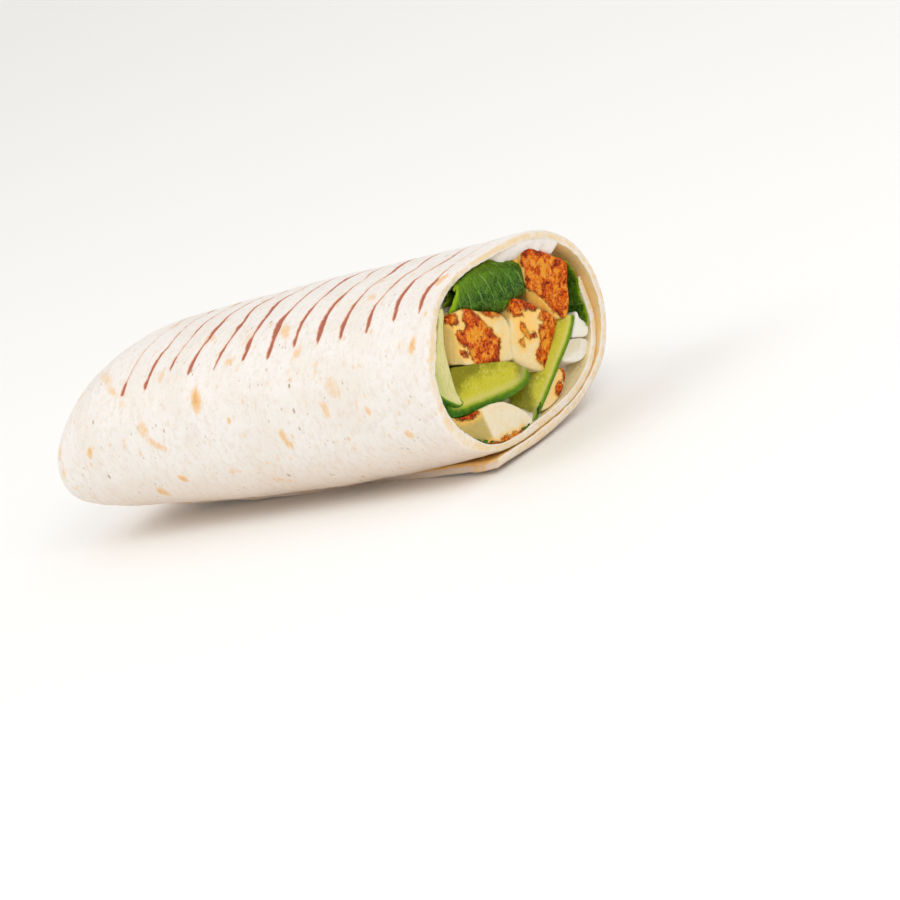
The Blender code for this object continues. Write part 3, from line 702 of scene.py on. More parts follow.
def tortilla_grid(bm, layers, settings, columns_at, profile, fade_at=None):
    """One bent grid of the tortilla; columns_at(x) gives its angles."""
    angles = np.array([columns_at(CUT_X - distance) for distance, _ in profile])
    stations = np.array([[(CUT_X - d) / MM] * angles.shape[1] for d, _ in profile])
    ways = way_round(angles)
    half, drift = grill_values(stations, ways)
    toast = toast_values(stations, ways)
    points = grid(bm, angles.shape[1] - 1, len(profile) - 1)
    last = way_round(np.array(INNER_ANGLE))
    for j, (distance, depth_in) in enumerate(profile):
        x = CUT_X - distance
        oval = section(x)
        fade = fade_at(x) if fade_at else 1.0
        front = smooth_step(1 - distance / KNIFE_REACH)
        for i in range(angles.shape[1]):
            a, way = float(angles[j, i]), float(ways[j, i])
            vertex = points[i, j]
            pull = edge_pull(way - ways[j, 0]) if way < ways[j, 0] + 2 else edge_pull(last - way)
            inside = (SHEET / 2 + (depth_in - SHEET / 2) * (1 - pull)) * pressed(x, a)
            relief = 0.0
            hidden = a > angles[j, 0] + 361
            if depth_in < OUTER_RADIUS and not hidden:
                relief = skin_relief(settings, x, way, half[j, i], drift[j, i], toast[j, i])
                relief *= 1 - depth_in / OUTER_RADIUS
            elif depth_in > SHEET - INNER_RADIUS or hidden:
                relief = SHALLOW_RELIEF * rough(x / MM / 3, way / 5, 2.0, 1.0, 2)
            flare = rim_shape(a)[2] * MM * smooth_step(1 - distance / FLARE_REACH)
            depth = (outer_depth(x, a) + inside) * fade - relief - flare
            y, z = skin(oval, a, depth)
            late = (a - INNER_PLY_RECESS_START) / (INNER_ANGLE - INNER_PLY_RECESS_START)
            recess = INNER_PLY_RECESS * smooth_step(late)
            recess += rim_shape(a)[0] * MM
            share = max(0.0, 1 - distance / SLANT_FADE) ** 2
            broad, torn = rim_shift(way, depth_in)
            on_rim = smooth_step(1 - distance / INNER_RADIUS)
            vertex.co = (x + share * (slant(y, z) - recess) + broad * front + torn * on_rim, y, z)
            vertex[layers["roll"]] = (x / MM, way, depth_in / MM)
            vertex[layers["mark_half"]] = half[j, i] if not hidden else NO_MARK
            vertex[layers["mark_drift"]] = drift[j, i]
            vertex[layers["toast"]] = toast[j, i] if not hidden else 0.0
            vertex[layers["rim"]] = on_rim
            vertex[layers["inside"]] = 1.0 if hidden else smooth_step(depth_in / SHEET)
            vertex[layers["behind"]] = distance / MM
    return points


def zip_chains(bm, first, second):
    """Triangles between two chains of points, which need not be equally many."""
    i = j = 0
    while i < len(first) - 1 or j < len(second) - 1:
        if j == len(second) - 1:
            step = True
        elif i == len(first) - 1:
            step = False
        else:
            step = ((first[i + 1].co - second[j].co).length
                    < (second[j + 1].co - first[i].co).length)
        corner = first[i + 1] if step else second[j + 1]
        bm.faces.new((first[i], corner, second[j]))
        i, j = (i + 1, j) if step else (i, j + 1)


def make_tortilla(settings):
    bm = bmesh.new()
    layers = {"roll": bm.verts.layers.float_vector.new("roll")}
    for name in ("mark_half", "mark_drift", "toast", "rim", "inside", "behind"):
        layers[name] = bm.verts.layers.float.new(name)
    profile = sheet_profile()
    points = tortilla_grid(bm, layers, settings, sheet_angles, profile)
    middle = min(range(len(profile)), key=lambda j: abs(profile[j][1] - SHEET / 2) + profile[j][0])
    width = len(turn_shares()) + len(overlap_shares()) - 1
    for column in (0, width):
        inner = [points[column, j] for j in range(middle, -1, -1)]
        outer = [points[column, j] for j in range(middle, len(profile))]
        zip_chains(bm, inner[1:], outer[1:])
        bm.faces.new((inner[0], outer[1], inner[1]))

    def tail_columns(x):
        turn = sheet_angles(x)[:len(turn_shares())]
        return turn + [turn[0], turn[0]]

    def tail_fade(x):
        return TAIL_STEP_LEFT + (1 - TAIL_STEP_LEFT) * (x - TIP_X) / (TAIL_X - TIP_X)

    stations = [TIP_X + (TAIL_X - TIP_X) * (1 - (1 - TAIL_LAST) * j / TAIL_ROWS) ** 2
                for j in range(TAIL_ROWS + 1)]
    tail = tortilla_grid(bm, layers, settings, tail_columns,
                         [(CUT_X - x, 0.0) for x in stations], tail_fade)
    turn = len(turn_shares())
    for j, x in enumerate(stations):
        oval = section(x)
        a = seam_angle(x)
        under = (outer_depth(x, a) + SHEET / 2 + SHEET / 2 * (1 - edge_pull(0.0))) * tail_fade(x)
        y, z = skin(oval, a, under)
        tail[turn, j].co = (x, y, z)
    bmesh.ops.remove_doubles(bm, verts=bm.verts, dist=MERGE_DISTANCE)
    open_edges = [e for e in bm.edges if e.is_boundary]
    filled = bmesh.ops.holes_fill(bm, edges=open_edges, sides=0)["faces"]
    bmesh.ops.triangulate(bm, faces=filled, ngon_method="EAR_CLIP")
    return finished(bm, "rolled_tortilla", tortilla_material(settings))


def tortilla_material(s):
    r = Recipe("toasted_tortilla", Roughness=0.78, Subsurface_Weight=0.10, Subsurface_Scale=0.0015,
               Subsurface_Radius=(1.0, 0.55, 0.3), Specular_IOR_Level=0.2)
    roll = r.layer("roll", vector=True)
    station, way, depth = r.put("SeparateXYZ", {0: roll}).outputs[:3]
    at = r.place()
    grain = r.stretched(at, (1.0, 0.6, 0.6))
    fine = r.noise(grain, 0.42, 4, 0.65)
    mottle = r.noise(grain, 1.2, 5, 0.68, 0.3)
    clouds = r.noise(at, 11.0, 3, 0.5)
    base = r.mix(r.times(r.band(clouds, 0.40, 0.68), 0.35), s.cream, s.shade)
    base = r.mix(r.times(r.band(mottle, 0.46, 0.68), 0.75), base, s.shade)
    base = r.mix(r.times(r.band(fine, 0.52, 0.74), 0.30), base, s.under)
    # painted shade: both lower sides of the roll are darkened and warmed towards the underside
    # colour
    low = r.sum(r.band(way, 82, 108), r.band(way, -4, -30))
    base = r.mix(r.times(low, 0.64), base, s.under)

    # tan flecks and tiny dark specks of many sizes, drawn out along the rings
    for size, least, wide, share, paint in ((1.9, 0.30, 0.26, 0.50, s.toast),
                                            (1.2, 0.40, 0.20, 0.55, s.speck),
                                            (2.9, 0.50, 0.14, 0.85, s.speck)):
        spots = r.put("TexVoronoi", {"Vector": grain, "Scale": 1 / size})
        chance = r.put("SeparateXYZ", {0: spots.outputs["Color"]}).outputs[0]
        strength = r.band(chance, least, 1.0, smooth=False)
        edge = r.less(r.sum(spots.outputs["Distance"], r.times(fine, 0.12)),
                      r.sum(r.times(strength, wide), 0.05))
        speck = r.times(r.band(edge, 0.05, -0.06), r.sum(r.times(strength, 0.8), 0.2))
        speck = r.times(speck, r.band(chance, least, least + 0.01))
        base = r.mix(r.times(speck, share), base, paint)

    # toasted spots with soft, slightly ragged edges
    torn = r.swing(r.noise(grain, 1.0, 4, 0.65), 1.0)
    toast = r.sum(r.layer("toast"), torn)
    base = r.mix(r.times(r.band(toast, 0.20, 0.85), 0.85), base, s.toast)
    base = r.mix(r.times(r.band(toast, 0.75, 1.35), 0.85), base, s.toast_deep)

    # grill marks at even steps along the roll
    wobble = r.swing(r.noise(roll, 1.3, 3, 0.6), 0.7)
    along = r.less(station, r.layer("mark_drift"))
    steps = r.sum(r.math("DIVIDE", r.sum(along, wobble), GRILL_PITCH), 0.5)
    off = r.times(r.math("PINGPONG", steps, 0.5), GRILL_PITCH)
    depth_in = r.less(r.layer("mark_half"), off)
    halo = r.band(depth_in, -0.5, 0.1)
    edge = r.band(depth_in, -0.18, 0.10)
    core = r.band(r.sum(depth_in, r.times(fine, 0.3)), 0.20, 0.55)
    streak = r.band(r.noise(r.stretched(roll, (1.0, 0.3, 1.0)), 0.55, 3, 0.6), 0.50, 0.66)
    burnt = r.mix(r.times(streak, 0.55), s.mark, tone(146, 76, 58))
    base = r.mix(r.times(halo, 0.28), base, s.toast)
    base = r.mix(r.times(edge, 0.92), base, s.mark_edge)
    base = r.mix(core, base, burnt)

    # the face turned to the filling, and the cut rim with its toasted middle
    pores = r.noise(r.stretched(roll, (1.0, 0.7, 1.8)), 0.42, 3, 0.6)
    # painted light and shade on the inside face: golden up on the right turns to the lighter glow
    # copy lower round the roll and on the inner ply, and the face is painted lighter near the cut
    # than deeper in
    inside = r.mix(r.band(way, 40, 120), s.golden, s.glow)
    inside = r.mix(r.times(r.band(r.layer("behind"), 5.0, 1.0), 0.25), inside, s.glow)
    inside = r.mix(r.times(r.band(r.noise(roll, 3.0, 4, 0.65), 0.42, 0.66), 0.45), inside,
                   s.crumb)
    inside = r.mix(r.times(r.band(r.noise(grain, 1.7, 3, 0.7), 0.58, 0.72), 0.5), inside,
                   s.toast_deep)
    inside = r.mix(r.times(r.band(r.layer("behind"), 1.6, 0.3), 0.45), inside, s.crumb)
    base = r.mix(r.band(r.layer("inside"), 0.75, 1.0), base, inside)
    patchy = r.band(r.sum(r.noise(roll, 2.6, 4, 0.6), r.times(pores, 0.25)), 0.48, 0.74)
    middle = r.times(r.band(depth, 0.15, 0.75), r.band(depth, 2.0, 1.5))
    rim = r.mix(r.times(middle, r.sum(r.times(patchy, 0.6), 0.3)), s.cream, s.crumb)
    rim = r.mix(r.times(r.band(pores, 0.52, 0.74), 0.30), rim, s.toast)
    base = r.mix(r.band(r.layer("rim"), 0.35, 0.8), base, rim)

    height = r.sum(r.times(fine, 0.6), r.times(mottle, 1.0), r.times(pores, r.layer("rim"), 1.4),
                   r.times(core, -0.5))
    return r.finish(base, r.band(core, -0.8, 1.5, smooth=False), height, 0.00013)


# ---- the fillings ---------------------------------------------------------------------

# Outlines are in mm (y, z) on the cut face, as the camera sees them through it. Their
# points were picked in the photograph, and another program worked out the mm. Each
# piece says how far its front sits behind the cut in mm, the front's lean, the line its
# front rings shrink to, facets that fall away as (y, z, direction y, direction z,
# slope), and for the cheese its browned patches, lighter places (y, z, radius), golden
# and olive places as (strength, outline), and how white it is. What a piece doesn't say
# is as in PLAIN.
PLAIN = dict(lean=(0.0, 0.0), facets=(), browned=(), lighter=(), golden=(), olive_shade=(), white=0.0)
# The golden and olive places are painted shade on side faces turned from the light, olive tinted
# green; golden is partly also the cheese's own colour.
CHEESE = {
    "halloumi_top": dict(
        outline=[(6.6, 18.0), (8.6, 17.8), (12.1, 16.7), (15.0, 14.7), (18.7, 11.6), (21.5, 9.4),
                 (21.1, 7.2), (19.8, 5.3), (19.1, 2.3), (17.7, -0.3), (16.0, -1.6), (13.7, -0.6),
                 (11.1, 2.0), (8.4, 5.0), (5.5, 7.5), (4.5, 9.5), (5.0, 12.0), (5.6, 15.0)],
        recess=1.0, lean=(0.06, 0.05), spine=[(13.6, 7.8)],
        facets=[(7.8, 10.1, -0.87, -0.49, 0.8), (9.1, 17.2, -0.98, 0.22, 0.9)],
        browned=[[(9.7, 18.6), (12.6, 17.8), (15.6, 15.9), (20.0, 12.3), (23.5, 9.8), (22.6, 6.7),
                  (21.3, 4.8), (20.5, 1.8), (19.2, -0.9), (16.9, -3.0), (14.7, -0.8), (12.8, 1.8),
                  (11.4, 4.7), (10.5, 6.3), (8.6, 8.1), (7.4, 9.8), (7.9, 11.0), (8.6, 13.0),
                  (8.2, 15.0), (9.1, 16.2)]],
        lighter=[(14.4, 10.1, 2.0), (15.8, 5.0, 1.5), (13.6, 12.5, 1.3), (9.8, 11.3, 1.0),
                 (17.6, 8.8, 1.2)],
        golden=[(0.9, [(7.6, 18.7), (10.4, 17.2), (8.9, 14.7), (8.1, 12.0), (8.0, 10.0),
                       (4.5, 9.0), (4.5, 16.1), (3.7, 18.4)]),
                (0.9, [(7.4, 9.8), (9.0, 8.9), (10.8, 6.9), (12.3, 4.3), (13.6, 1.4), (14.6, -1.0),
                       (11.9, 0.8), (9.2, 3.7), (7.0, 6.3), (5.8, 8.0)])]),
    "halloumi_left": dict(
        outline=[(-17.1, 14.5), (-14.4, 13.9), (-12.1, 13.8), (-10.2, 12.9), (-7.8, 11.1),
                 (-4.9, 10.0), (-3.1, 8.9), (-1.7, 7.6), (-0.7, 5.5), (-0.7, 3.4), (-1.1, 1.3),
                 (-1.0, -0.6), (-1.4, -2.3), (-3.1, -2.2), (-5.6, -1.7), (-7.5, -1.2),
                 (-10.0, -0.2), (-12.7, 1.1), (-14.9, 2.1), (-17.5, 3.6), (-20.8, 5.1),
                 (-21.5, 7.0), (-20.2, 10.3), (-18.8, 13.0)],
        recess=0.8, lean=(-0.04, 0.05), spine=[(-15.0, 8.6), (-5.0, 3.4)],
        facets=[(-7.8, 10.4, 0.67, 0.74, 0.5), (-15.4, 12.8, -0.92, 0.39, 0.6)],
        browned=[[(-12.1, 14.9), (-9.9, 13.7), (-9.3, 11.3), (-8.1, 9.6), (-7.1, 7.6), (-6.1, 6.2),
                  (-6.0, 5.0), (-4.9, 3.3), (-5.2, 1.9), (-6.3, 1.0), (-6.5, -0.1), (-7.3, -1.4),
                  (-10.3, -1.0), (-13.6, 0.8), (-14.1, 3.1), (-14.3, 4.8), (-13.9, 5.5),
                  (-15.8, 7.1), (-16.4, 8.5), (-16.5, 9.7), (-15.6, 10.2), (-13.9, 9.6),
                  (-12.9, 10.3), (-13.2, 11.6), (-12.5, 12.4)],
                 [(-18.3, 15.4), (-15.3, 14.1), (-14.5, 13.1), (-14.3, 11.4), (-16.6, 12.0),
                  (-18.2, 13.2)],
                 [(-7.6, 10.9), (-4.2, 10.6), (-2.0, 9.1), (-2.4, 7.8), (-5.0, 8.4), (-6.7, 9.9)],
                 [(-16.8, 6.4), (-15.0, 5.3), (-15.2, 4.3), (-16.1, 4.5), (-16.9, 5.6)]],
        lighter=[(-10.9, 7.5, 2.1), (-13.0, 7.4, 1.2), (-10.6, 2.1, 1.1), (-16.1, 13.1, 0.9)],
        golden=[(0.5, [(-19.0, 14.7), (-15.6, 12.2), (-13.5, 9.9), (-13.5, 7.2), (-14.1, 3.0),
                       (-21.8, 5.6), (-21.9, 8.8)])],
        olive_shade=[(0.7, [(-19.0, 14.7), (-16.9, 12.2), (-16.4, 9.9), (-16.4, 7.2), (-16.6, 3.0),
                      (-21.8, 5.0), (-21.9, 8.8)])]),
    "halloumi_centre": dict(
        outline=[(2.4, 9.6), (4.8, 8.2), (7.5, 5.9), (9.5, 3.7), (12.2, 1.3), (13.6, -0.4),
                 (12.6, -2.6), (10.0, -5.0), (8.0, -6.8), (6.0, -8.8), (4.0, -8.2), (1.6, -6.6),
                 (-0.6, -5.2), (-2.8, -3.4), (-2.4, 0.1), (-1.0, 3.0), (0.0, 5.2), (1.5, 7.6)],
        recess=1.2, lean=(0.05, 0.0), spine=[(3.4, 3.2), (6.8, -3.6)],
        facets=[(9.4, 3.5, 0.83, -0.55, 0.35), (-0.9, -3.5, -0.61, -0.8, 0.3)],
        browned=[[(2.0, 10.6), (5.2, 9.0), (7.0, 6.6), (9.6, 3.9), (7.4, 4.3), (5.9, 5.4),
                  (5.4, 5.2), (4.0, 5.8), (4.1, 4.6), (1.2, 5.8), (0.9, 7.7)],
                 [(9.7, 3.4), (12.3, 2.2), (15.4, -0.4), (13.9, -3.2), (11.4, -5.2), (9.3, -7.2),
                  (6.6, -9.9), (5.0, -7.6), (3.7, -5.2), (4.4, -3.7), (5.9, -3.6), (6.7, -1.9),
                  (6.9, -0.2), (7.6, 0.7), (8.7, -0.1), (9.2, 0.9), (8.0, 2.1)],
                 [(2.7, 3.9), (3.4, 2.6), (4.3, 0.2), (5.9, -0.1), (5.8, -1.0), (3.5, -0.7),
                  (2.6, 0.9), (1.9, 2.4)],
                 [(0.3, 0.6), (1.8, 0.3), (1.7, -1.4), (1.1, -1.4)]],
        lighter=[(3.4, 1.2, 1.4), (8.4, 1.3, 1.0), (8.0, -3.5, 0.9), (7.6, -1.4, 0.9),
                 (1.0, -0.4, 1.2)],
        golden=[(0.55, [(0.4, 7.0), (3.0, 6.5), (7.5, 4.3), (7.2, 0.8), (4.6, -2.0), (1.9, -1.2),
                        (0.2, 2.2)])]),
    "halloumi_bottom": dict(
        outline=[(-25.8, -4.3), (-24.3, -5.4), (-21.2, -6.5), (-17.5, -7.0), (-14.5, -7.3),
                 (-11.4, -7.9), (-9.2, -8.9), (-6.8, -10.9), (-4.5, -13.2), (-3.5, -14.7),
                 (-3.0, -16.4), (-4.6, -17.0), (-7.3, -17.0), (-9.8, -16.9), (-12.1, -16.5),
                 (-14.5, -16.1), (-17.3, -14.8), (-19.6, -13.4), (-21.7, -12.1), (-23.3, -10.6),
                 (-24.8, -8.3), (-25.8, -6.0)],
        recess=0.7, spine=[(-21.0, -9.0), (-9.6, -12.9)],
        facets=[(-16.2, -10.0, -1.0, -0.1, 0.16), (-7.4, -10.4, 0.8, 0.6, 0.35)],
        browned=[[(-24.0, -5.9), (-22.4, -6.9), (-20.0, -7.6), (-17.4, -7.7), (-17.0, -6.7),
                  (-21.0, -6.0), (-24.1, -4.9)],
                 [(-17.8, -14.5), (-16.3, -14.8), (-14.3, -15.5), (-12.6, -15.3), (-10.7, -16.0),
                  (-9.4, -15.9), (-8.2, -16.4), (-6.8, -16.3), (-6.2, -17.6), (-8.9, -18.2),
                  (-12.0, -17.8), (-15.2, -17.2), (-18.2, -15.6)]],
        lighter=[(-10.7, -16.0, 0.8)],
        olive_shade=[(1.0, [(-26.2, -3.2), (-17.4, -6.2), (-16.5, -7.7), (-16.2, -9.9), (-15.8, -12.5),
                      (-15.4, -16.8), (-22.7, -13.0), (-25.9, -8.4), (-27.4, -4.9)])],
        white=0.55),
    "halloumi_right_upper": dict(
        outline=[(19.8, -1.4), (19.6, -3.1), (21.3, -4.7), (21.7, -6.4), (20.9, -7.7),
                 (19.7, -7.8), (15.9, -6.1), (16.9, -4.9), (18.3, -3.2), (19.1, -1.9)],
        recess=0.6, spine=[(19.2, -4.8), (19.4, -5.6)], facets=[(20.4, -5.0, 0.9, 0.3, 0.4)],
        white=1.0),
    "halloumi_right_lower": dict(
        outline=[(15.3, -5.9), (20.4, -8.3), (20.1, -10.2), (18.2, -11.6), (15.3, -11.6),
                 (11.3, -9.7), (10.6, -8.2), (13.0, -7.0)],
        recess=0.8, spine=[(17.4, -8.6), (15.6, -8.8)], facets=[(17.8, -8.8, 0.9, -0.3, 0.4)],
        olive_shade=[(0.35, [(14.0, -5.0), (19.0, -7.0), (17.0, -9.6), (9.0, -9.0)])],
        white=0.9),
    "halloumi_edge": dict(
        outline=[(10.0, -9.7), (10.9, -11.9), (9.7, -13.5), (8.2, -14.8), (5.8, -15.8),
                 (2.7, -16.2), (-0.2, -15.7), (2.5, -13.9), (4.5, -12.6), (7.1, -11.0)],
        recess=0.9, spine=[(9.4, -11.4), (4.6, -13.9)],
        browned=[[(9.6, -10.0), (11.4, -10.9), (11.3, -12.6), (9.9, -13.8), (9.0, -12.9),
                  (9.8, -11.6)],
                 [(7.0, -12.6), (8.7, -12.8), (8.7, -14.9), (6.3, -15.4), (5.8, -13.9)]],
        golden=[(0.35, [(8.8, -9.9), (11.0, -11.4), (8.5, -14.6), (1.6, -15.7)])]),
    "halloumi_back": dict(
        outline=[(2.6, 19.6), (5.0, 19.6), (7.6, 18.9), (9.6, 18.0), (8.6, 14.6), (5.6, 15.0),
                 (3.0, 16.6)],
        recess=2.2, spine=[(5.0, 17.4), (7.0, 16.8)],
        browned=[[(1.5, 20.3), (5.2, 20.4), (6.4, 18.6), (6.2, 15.9), (5.3, 14.0), (1.4, 16.0)]],
        golden=[(1.0, [(0.0, 21.0), (12.0, 21.0), (12.0, 13.0), (0.0, 13.0)])]),
}

# For the cucumber also the line of its skin, the skin's width, the flesh's paleness, and
# the line and the reach of its bright middle.
CUCUMBER = {
    "cucumber_long": dict(
        outline=[(13.6, 0.0), (16.4, -0.9), (19.0, -2.1), (17.9, -3.5), (16.4, -5.1), (14.6, -6.6),
                 (12.5, -8.0), (10.5, -9.1), (8.4, -10.5), (6.3, -11.8), (4.3, -13.2),
                 (2.3, -14.3), (0.3, -15.5), (-1.7, -16.6), (-3.4, -17.4), (-4.0, -15.7),
                 (-4.1, -13.8), (-6.0, -12.1), (-8.6, -9.7), (-10.5, -8.1), (-7.4, -7.3),
                 (-3.7, -6.8), (-0.3, -5.6), (4.3, -6.0), (8.1, -5.4), (11.0, -3.2)],
        recess=0.9, lean=(0.15, -0.2),
        spine=[(16.4, -2.4), (10.4, -7.0), (3.0, -9.8), (-4.5, -9.2)],
        facets=[(12.9, -5.0, -0.62, 0.78, 0.25)],
        skin=[(19.5, -1.8), (18.2, -3.6), (16.7, -5.2), (14.9, -6.7), (12.8, -8.1), (10.8, -9.3),
              (8.7, -10.6), (6.6, -12.0), (4.5, -13.3), (2.6, -14.5), (0.6, -15.6), (-1.4, -16.8),
              (-3.3, -17.7)],
        peel=1.25, pale=0.0, glow=[(17.0, -3.2), (10.0, -7.4), (2.4, -12.2)], reach=5.5),
    "cucumber_half": dict(
        outline=[(-20.5, 4.3), (-19.1, 3.8), (-17.1, 3.0), (-14.8, 2.4), (-12.6, 1.4), (-9.7, 0.3),
                 (-6.9, -0.8), (-4.6, -1.8), (-2.8, -2.9), (-1.4, -4.2), (-0.2, -5.3), (0.5, -6.7),
                 (0.4, -7.7), (-0.6, -8.5), (-2.2, -8.9), (-4.2, -9.1), (-6.2, -9.0), (-8.5, -8.7),
                 (-10.7, -8.4), (-13.8, -7.8), (-16.9, -7.2), (-19.9, -6.6), (-22.9, -5.8),
                 (-25.1, -5.0), (-25.6, -3.7), (-25.4, -2.5), (-24.4, -0.9), (-22.9, 1.4)],
        recess=1.5, lean=(0.05, 0.08), spine=[(-19.7, -0.9), (-4.8, -4.8)],
        skin=[(1.2, -6.9), (-0.2, -8.7), (-2.0, -9.2), (-4.0, -9.4), (-6.0, -9.4), (-8.4, -9.0),
              (-10.8, -8.6), (-13.9, -8.0), (-17.0, -7.4), (-20.0, -6.8), (-23.0, -6.0),
              (-25.4, -5.1), (-26.0, -3.5)],
        peel=1.7, pale=0.0, glow=[(-19.5, -4.2), (-12.5, -3.9), (-6.5, -4.6)], reach=5.4),
    "cucumber_strip": dict(
        outline=[(-17.7, 16.6), (-17.3, 15.8), (-17.8, 14.4), (-18.7, 13.2), (-19.6, 11.2),
                 (-20.4, 9.2), (-20.7, 7.6), (-20.9, 5.9), (-21.1, 4.1), (-21.3, 2.4),
                 (-21.4, 0.2), (-21.4, -1.2), (-21.0, -2.4), (-20.2, -3.8), (-20.9, -4.1),
                 (-22.0, -4.1), (-23.3, -3.3), (-24.4, -2.2), (-25.5, -1.1), (-26.4, 0.1),
                 (-26.2, 1.8), (-26.1, 3.1), (-26.0, 4.5), (-26.0, 5.5), (-25.1, 6.7),
                 (-24.1, 8.1), (-23.1, 9.4), (-21.9, 11.1), (-20.7, 12.8), (-19.6, 14.3),
                 (-18.8, 15.7)],
        recess=0.9,
        spine=[(-18.1, 15.5), (-20.4, 11.5), (-22.3, 6.7), (-23.5, 1.6), (-22.7, -2.2)],
        skin=[(-27.2, 1.4), (-26.7, 0.1), (-25.7, -1.3), (-24.6, -2.4), (-23.4, -3.5),
              (-22.1, -4.4), (-20.8, -4.5), (-19.8, -4.0), (-20.3, -2.6)],
        peel=0.75, pale=1.0, glow=[(-18.0, 15.0), (-24.5, 3.0), (-23.5, -1.0)], reach=3.5),
}
SIGHT = Vector((1.005, -0.357))      # how the camera's line of sight runs back through the cut
POINT_SPACING = 0.36                 # mm between points of an outline
FRONT_RINGS = 24
PAST_THE_END = 200.0                 # mm, further back than any filling reaches
CORNER_TURNS = 4
CHEESE_RADIUS = 0.45                 # mm, of the edge round a piece's front
CUCUMBER_RADIUS = 0.35
SIDE_STEPS = (0.5, 1.0, 1.6, 2.3, 3.1, 4.0, 5.2, 7.0, 10.0, 15.0, 24.0, 38.0, 55.0, 72.0)


def nearest_on(line, point):
    """The point of a broken line, or the only point, that is nearest to a point."""
    if len(line) == 1:
        return Vector(line[0])
    best = None
    for a, b in zip(line, line[1:]):
        a, b = Vector(a), Vector(b)
        along = min(1.0, max(0.0, (point - a).dot(b - a) / (b - a).length_squared))
        spot = a + (b - a) * along
        if best is None or (spot - point).length < (best - point).length:
            best = spot
    return best


def inside_depth(outline, point):
    """Distance to an outline in mm, positive inside it."""
    near = (nearest_on(list(outline) + [outline[0]], point) - point).length
    crossings = 0
    for (ay, az), (by, bz) in zip(outline, list(outline[1:]) + [outline[0]]):
        if (az > point.y) != (bz > point.y):
            if point.x < ay + (point.y - az) / (bz - az) * (by - ay):
                crossings += 1
    return near if crossings % 2 else -near


def rounded_outline(corners, spacing, cut):
    """Points at even steps along an outline whose corners are cut back and smoothed."""
    line = [Vector(c) for c in corners]
    for _ in range(3):
        smoothed = []
        for i, point in enumerate(line):
            for other in (line[i - 1], line[(i + 1) % len(line)]):
                reach = min(0.25, cut / max(1e-6, (other - point).length))
                smoothed.append(point + (other - point) * reach)
        line = smoothed
    closed = line + [line[0]]
    steps = [0.0]
    for a, b in zip(closed, closed[1:]):
        steps.append(steps[-1] + (b - a).length)
    count = max(24, round(steps[-1] / spacing))
    even = np.linspace(0, steps[-1], count, endpoint=False)
    ys = np.interp(even, steps, [p.x for p in closed])
    zs = np.interp(even, steps, [p.y for p in closed])
    return [Vector((y, z)) for y, z in zip(ys, zs)]


def behind_cut(seen, recess, back=0.0):
    """Place in the roll of a point seen on the cut face, recess behind it and back further."""
    y, z = seen.x + SIGHT.x * recess, seen.y + SIGHT.y * recess
    x = max(CUT_X / MM + slant(y, z) - recess - back, BAR_END_X / MM) * MM
    y, z = follow_roll(x, y * MM, z * MM)
    return Vector((x, *keep_inside(x, y, z)))


def front_recess(spec, seen):
    """How far a filling's front face sits behind the cut at a point of its outline, in mm."""
    middle_y, middle_z = spec["spine"][0]
    recess = spec["recess"] - spec["lean"][0] * (seen.x - middle_y)
    recess -= spec["lean"][1] * (seen.y - middle_z)
    for fy, fz, dy, dz, slope in spec["facets"]:
        recess += slope * max(0.0, (seen.x - fy) * dy + (seen.y - fz) * dz)
    return recess


def bar_rings(spec, radius, relief, marks):
    """Rings of points of a filling from its back end to the middle of its front.

    relief(back, y, z, face) is its unevenness in mm, and marks(point, back) gives the
    numbers that its material reads there.
    """
    outline = rounded_outline(spec["outline"], POINT_SPACING, 0.7)
    centres = [nearest_on(spec["spine"], p) for p in outline]
    reaches = [max((p - c).length, 0.5) for p, c in zip(outline, centres)]
    rings, values = [], []

    def ring(shares, back, swell):
        line, numbers = [], []
        for point, centre, share, reach in zip(outline, centres, shares, reaches):
            out = relief(back, point.x, point.y, False) * swell
            spot = centre + (point - centre) * (share + out / reach)
            recess = front_recess(spec, spot)
            recess -= relief(back, spot.x, spot.y, True) * (1 - min(1.0, back / radius))
            line.append(behind_cut(spot, recess, back))
            numbers.append(marks(spot, back))
        rings.append(line)
        values.append(numbers)

    whole = [1.0] * len(outline)
    ring([0.5] * len(outline), PAST_THE_END, 0)
    ring(whole, PAST_THE_END, 0)
    for back in reversed(SIDE_STEPS):
        ring(whole, back + radius, 1)
    for step in range(CORNER_TURNS + 1):
        turn = math.pi / 2 * step / CORNER_TURNS
        inset, back = radius * (1 - math.cos(turn)), radius * (1 - math.sin(turn))
        ring([max(0.1, 1 - inset / r) for r in reaches], back, 1 - step / CORNER_TURNS)
    for step in range(1, FRONT_RINGS + 1):
        left = 1 - step / (FRONT_RINGS + 0.6)
        ring([max(0.1, 1 - radius / r) * left for r in reaches], 0.0, 0)
    names = values[0][0].keys()
    return rings, {n: [[v[n] for v in row] for row in values] for n in names}


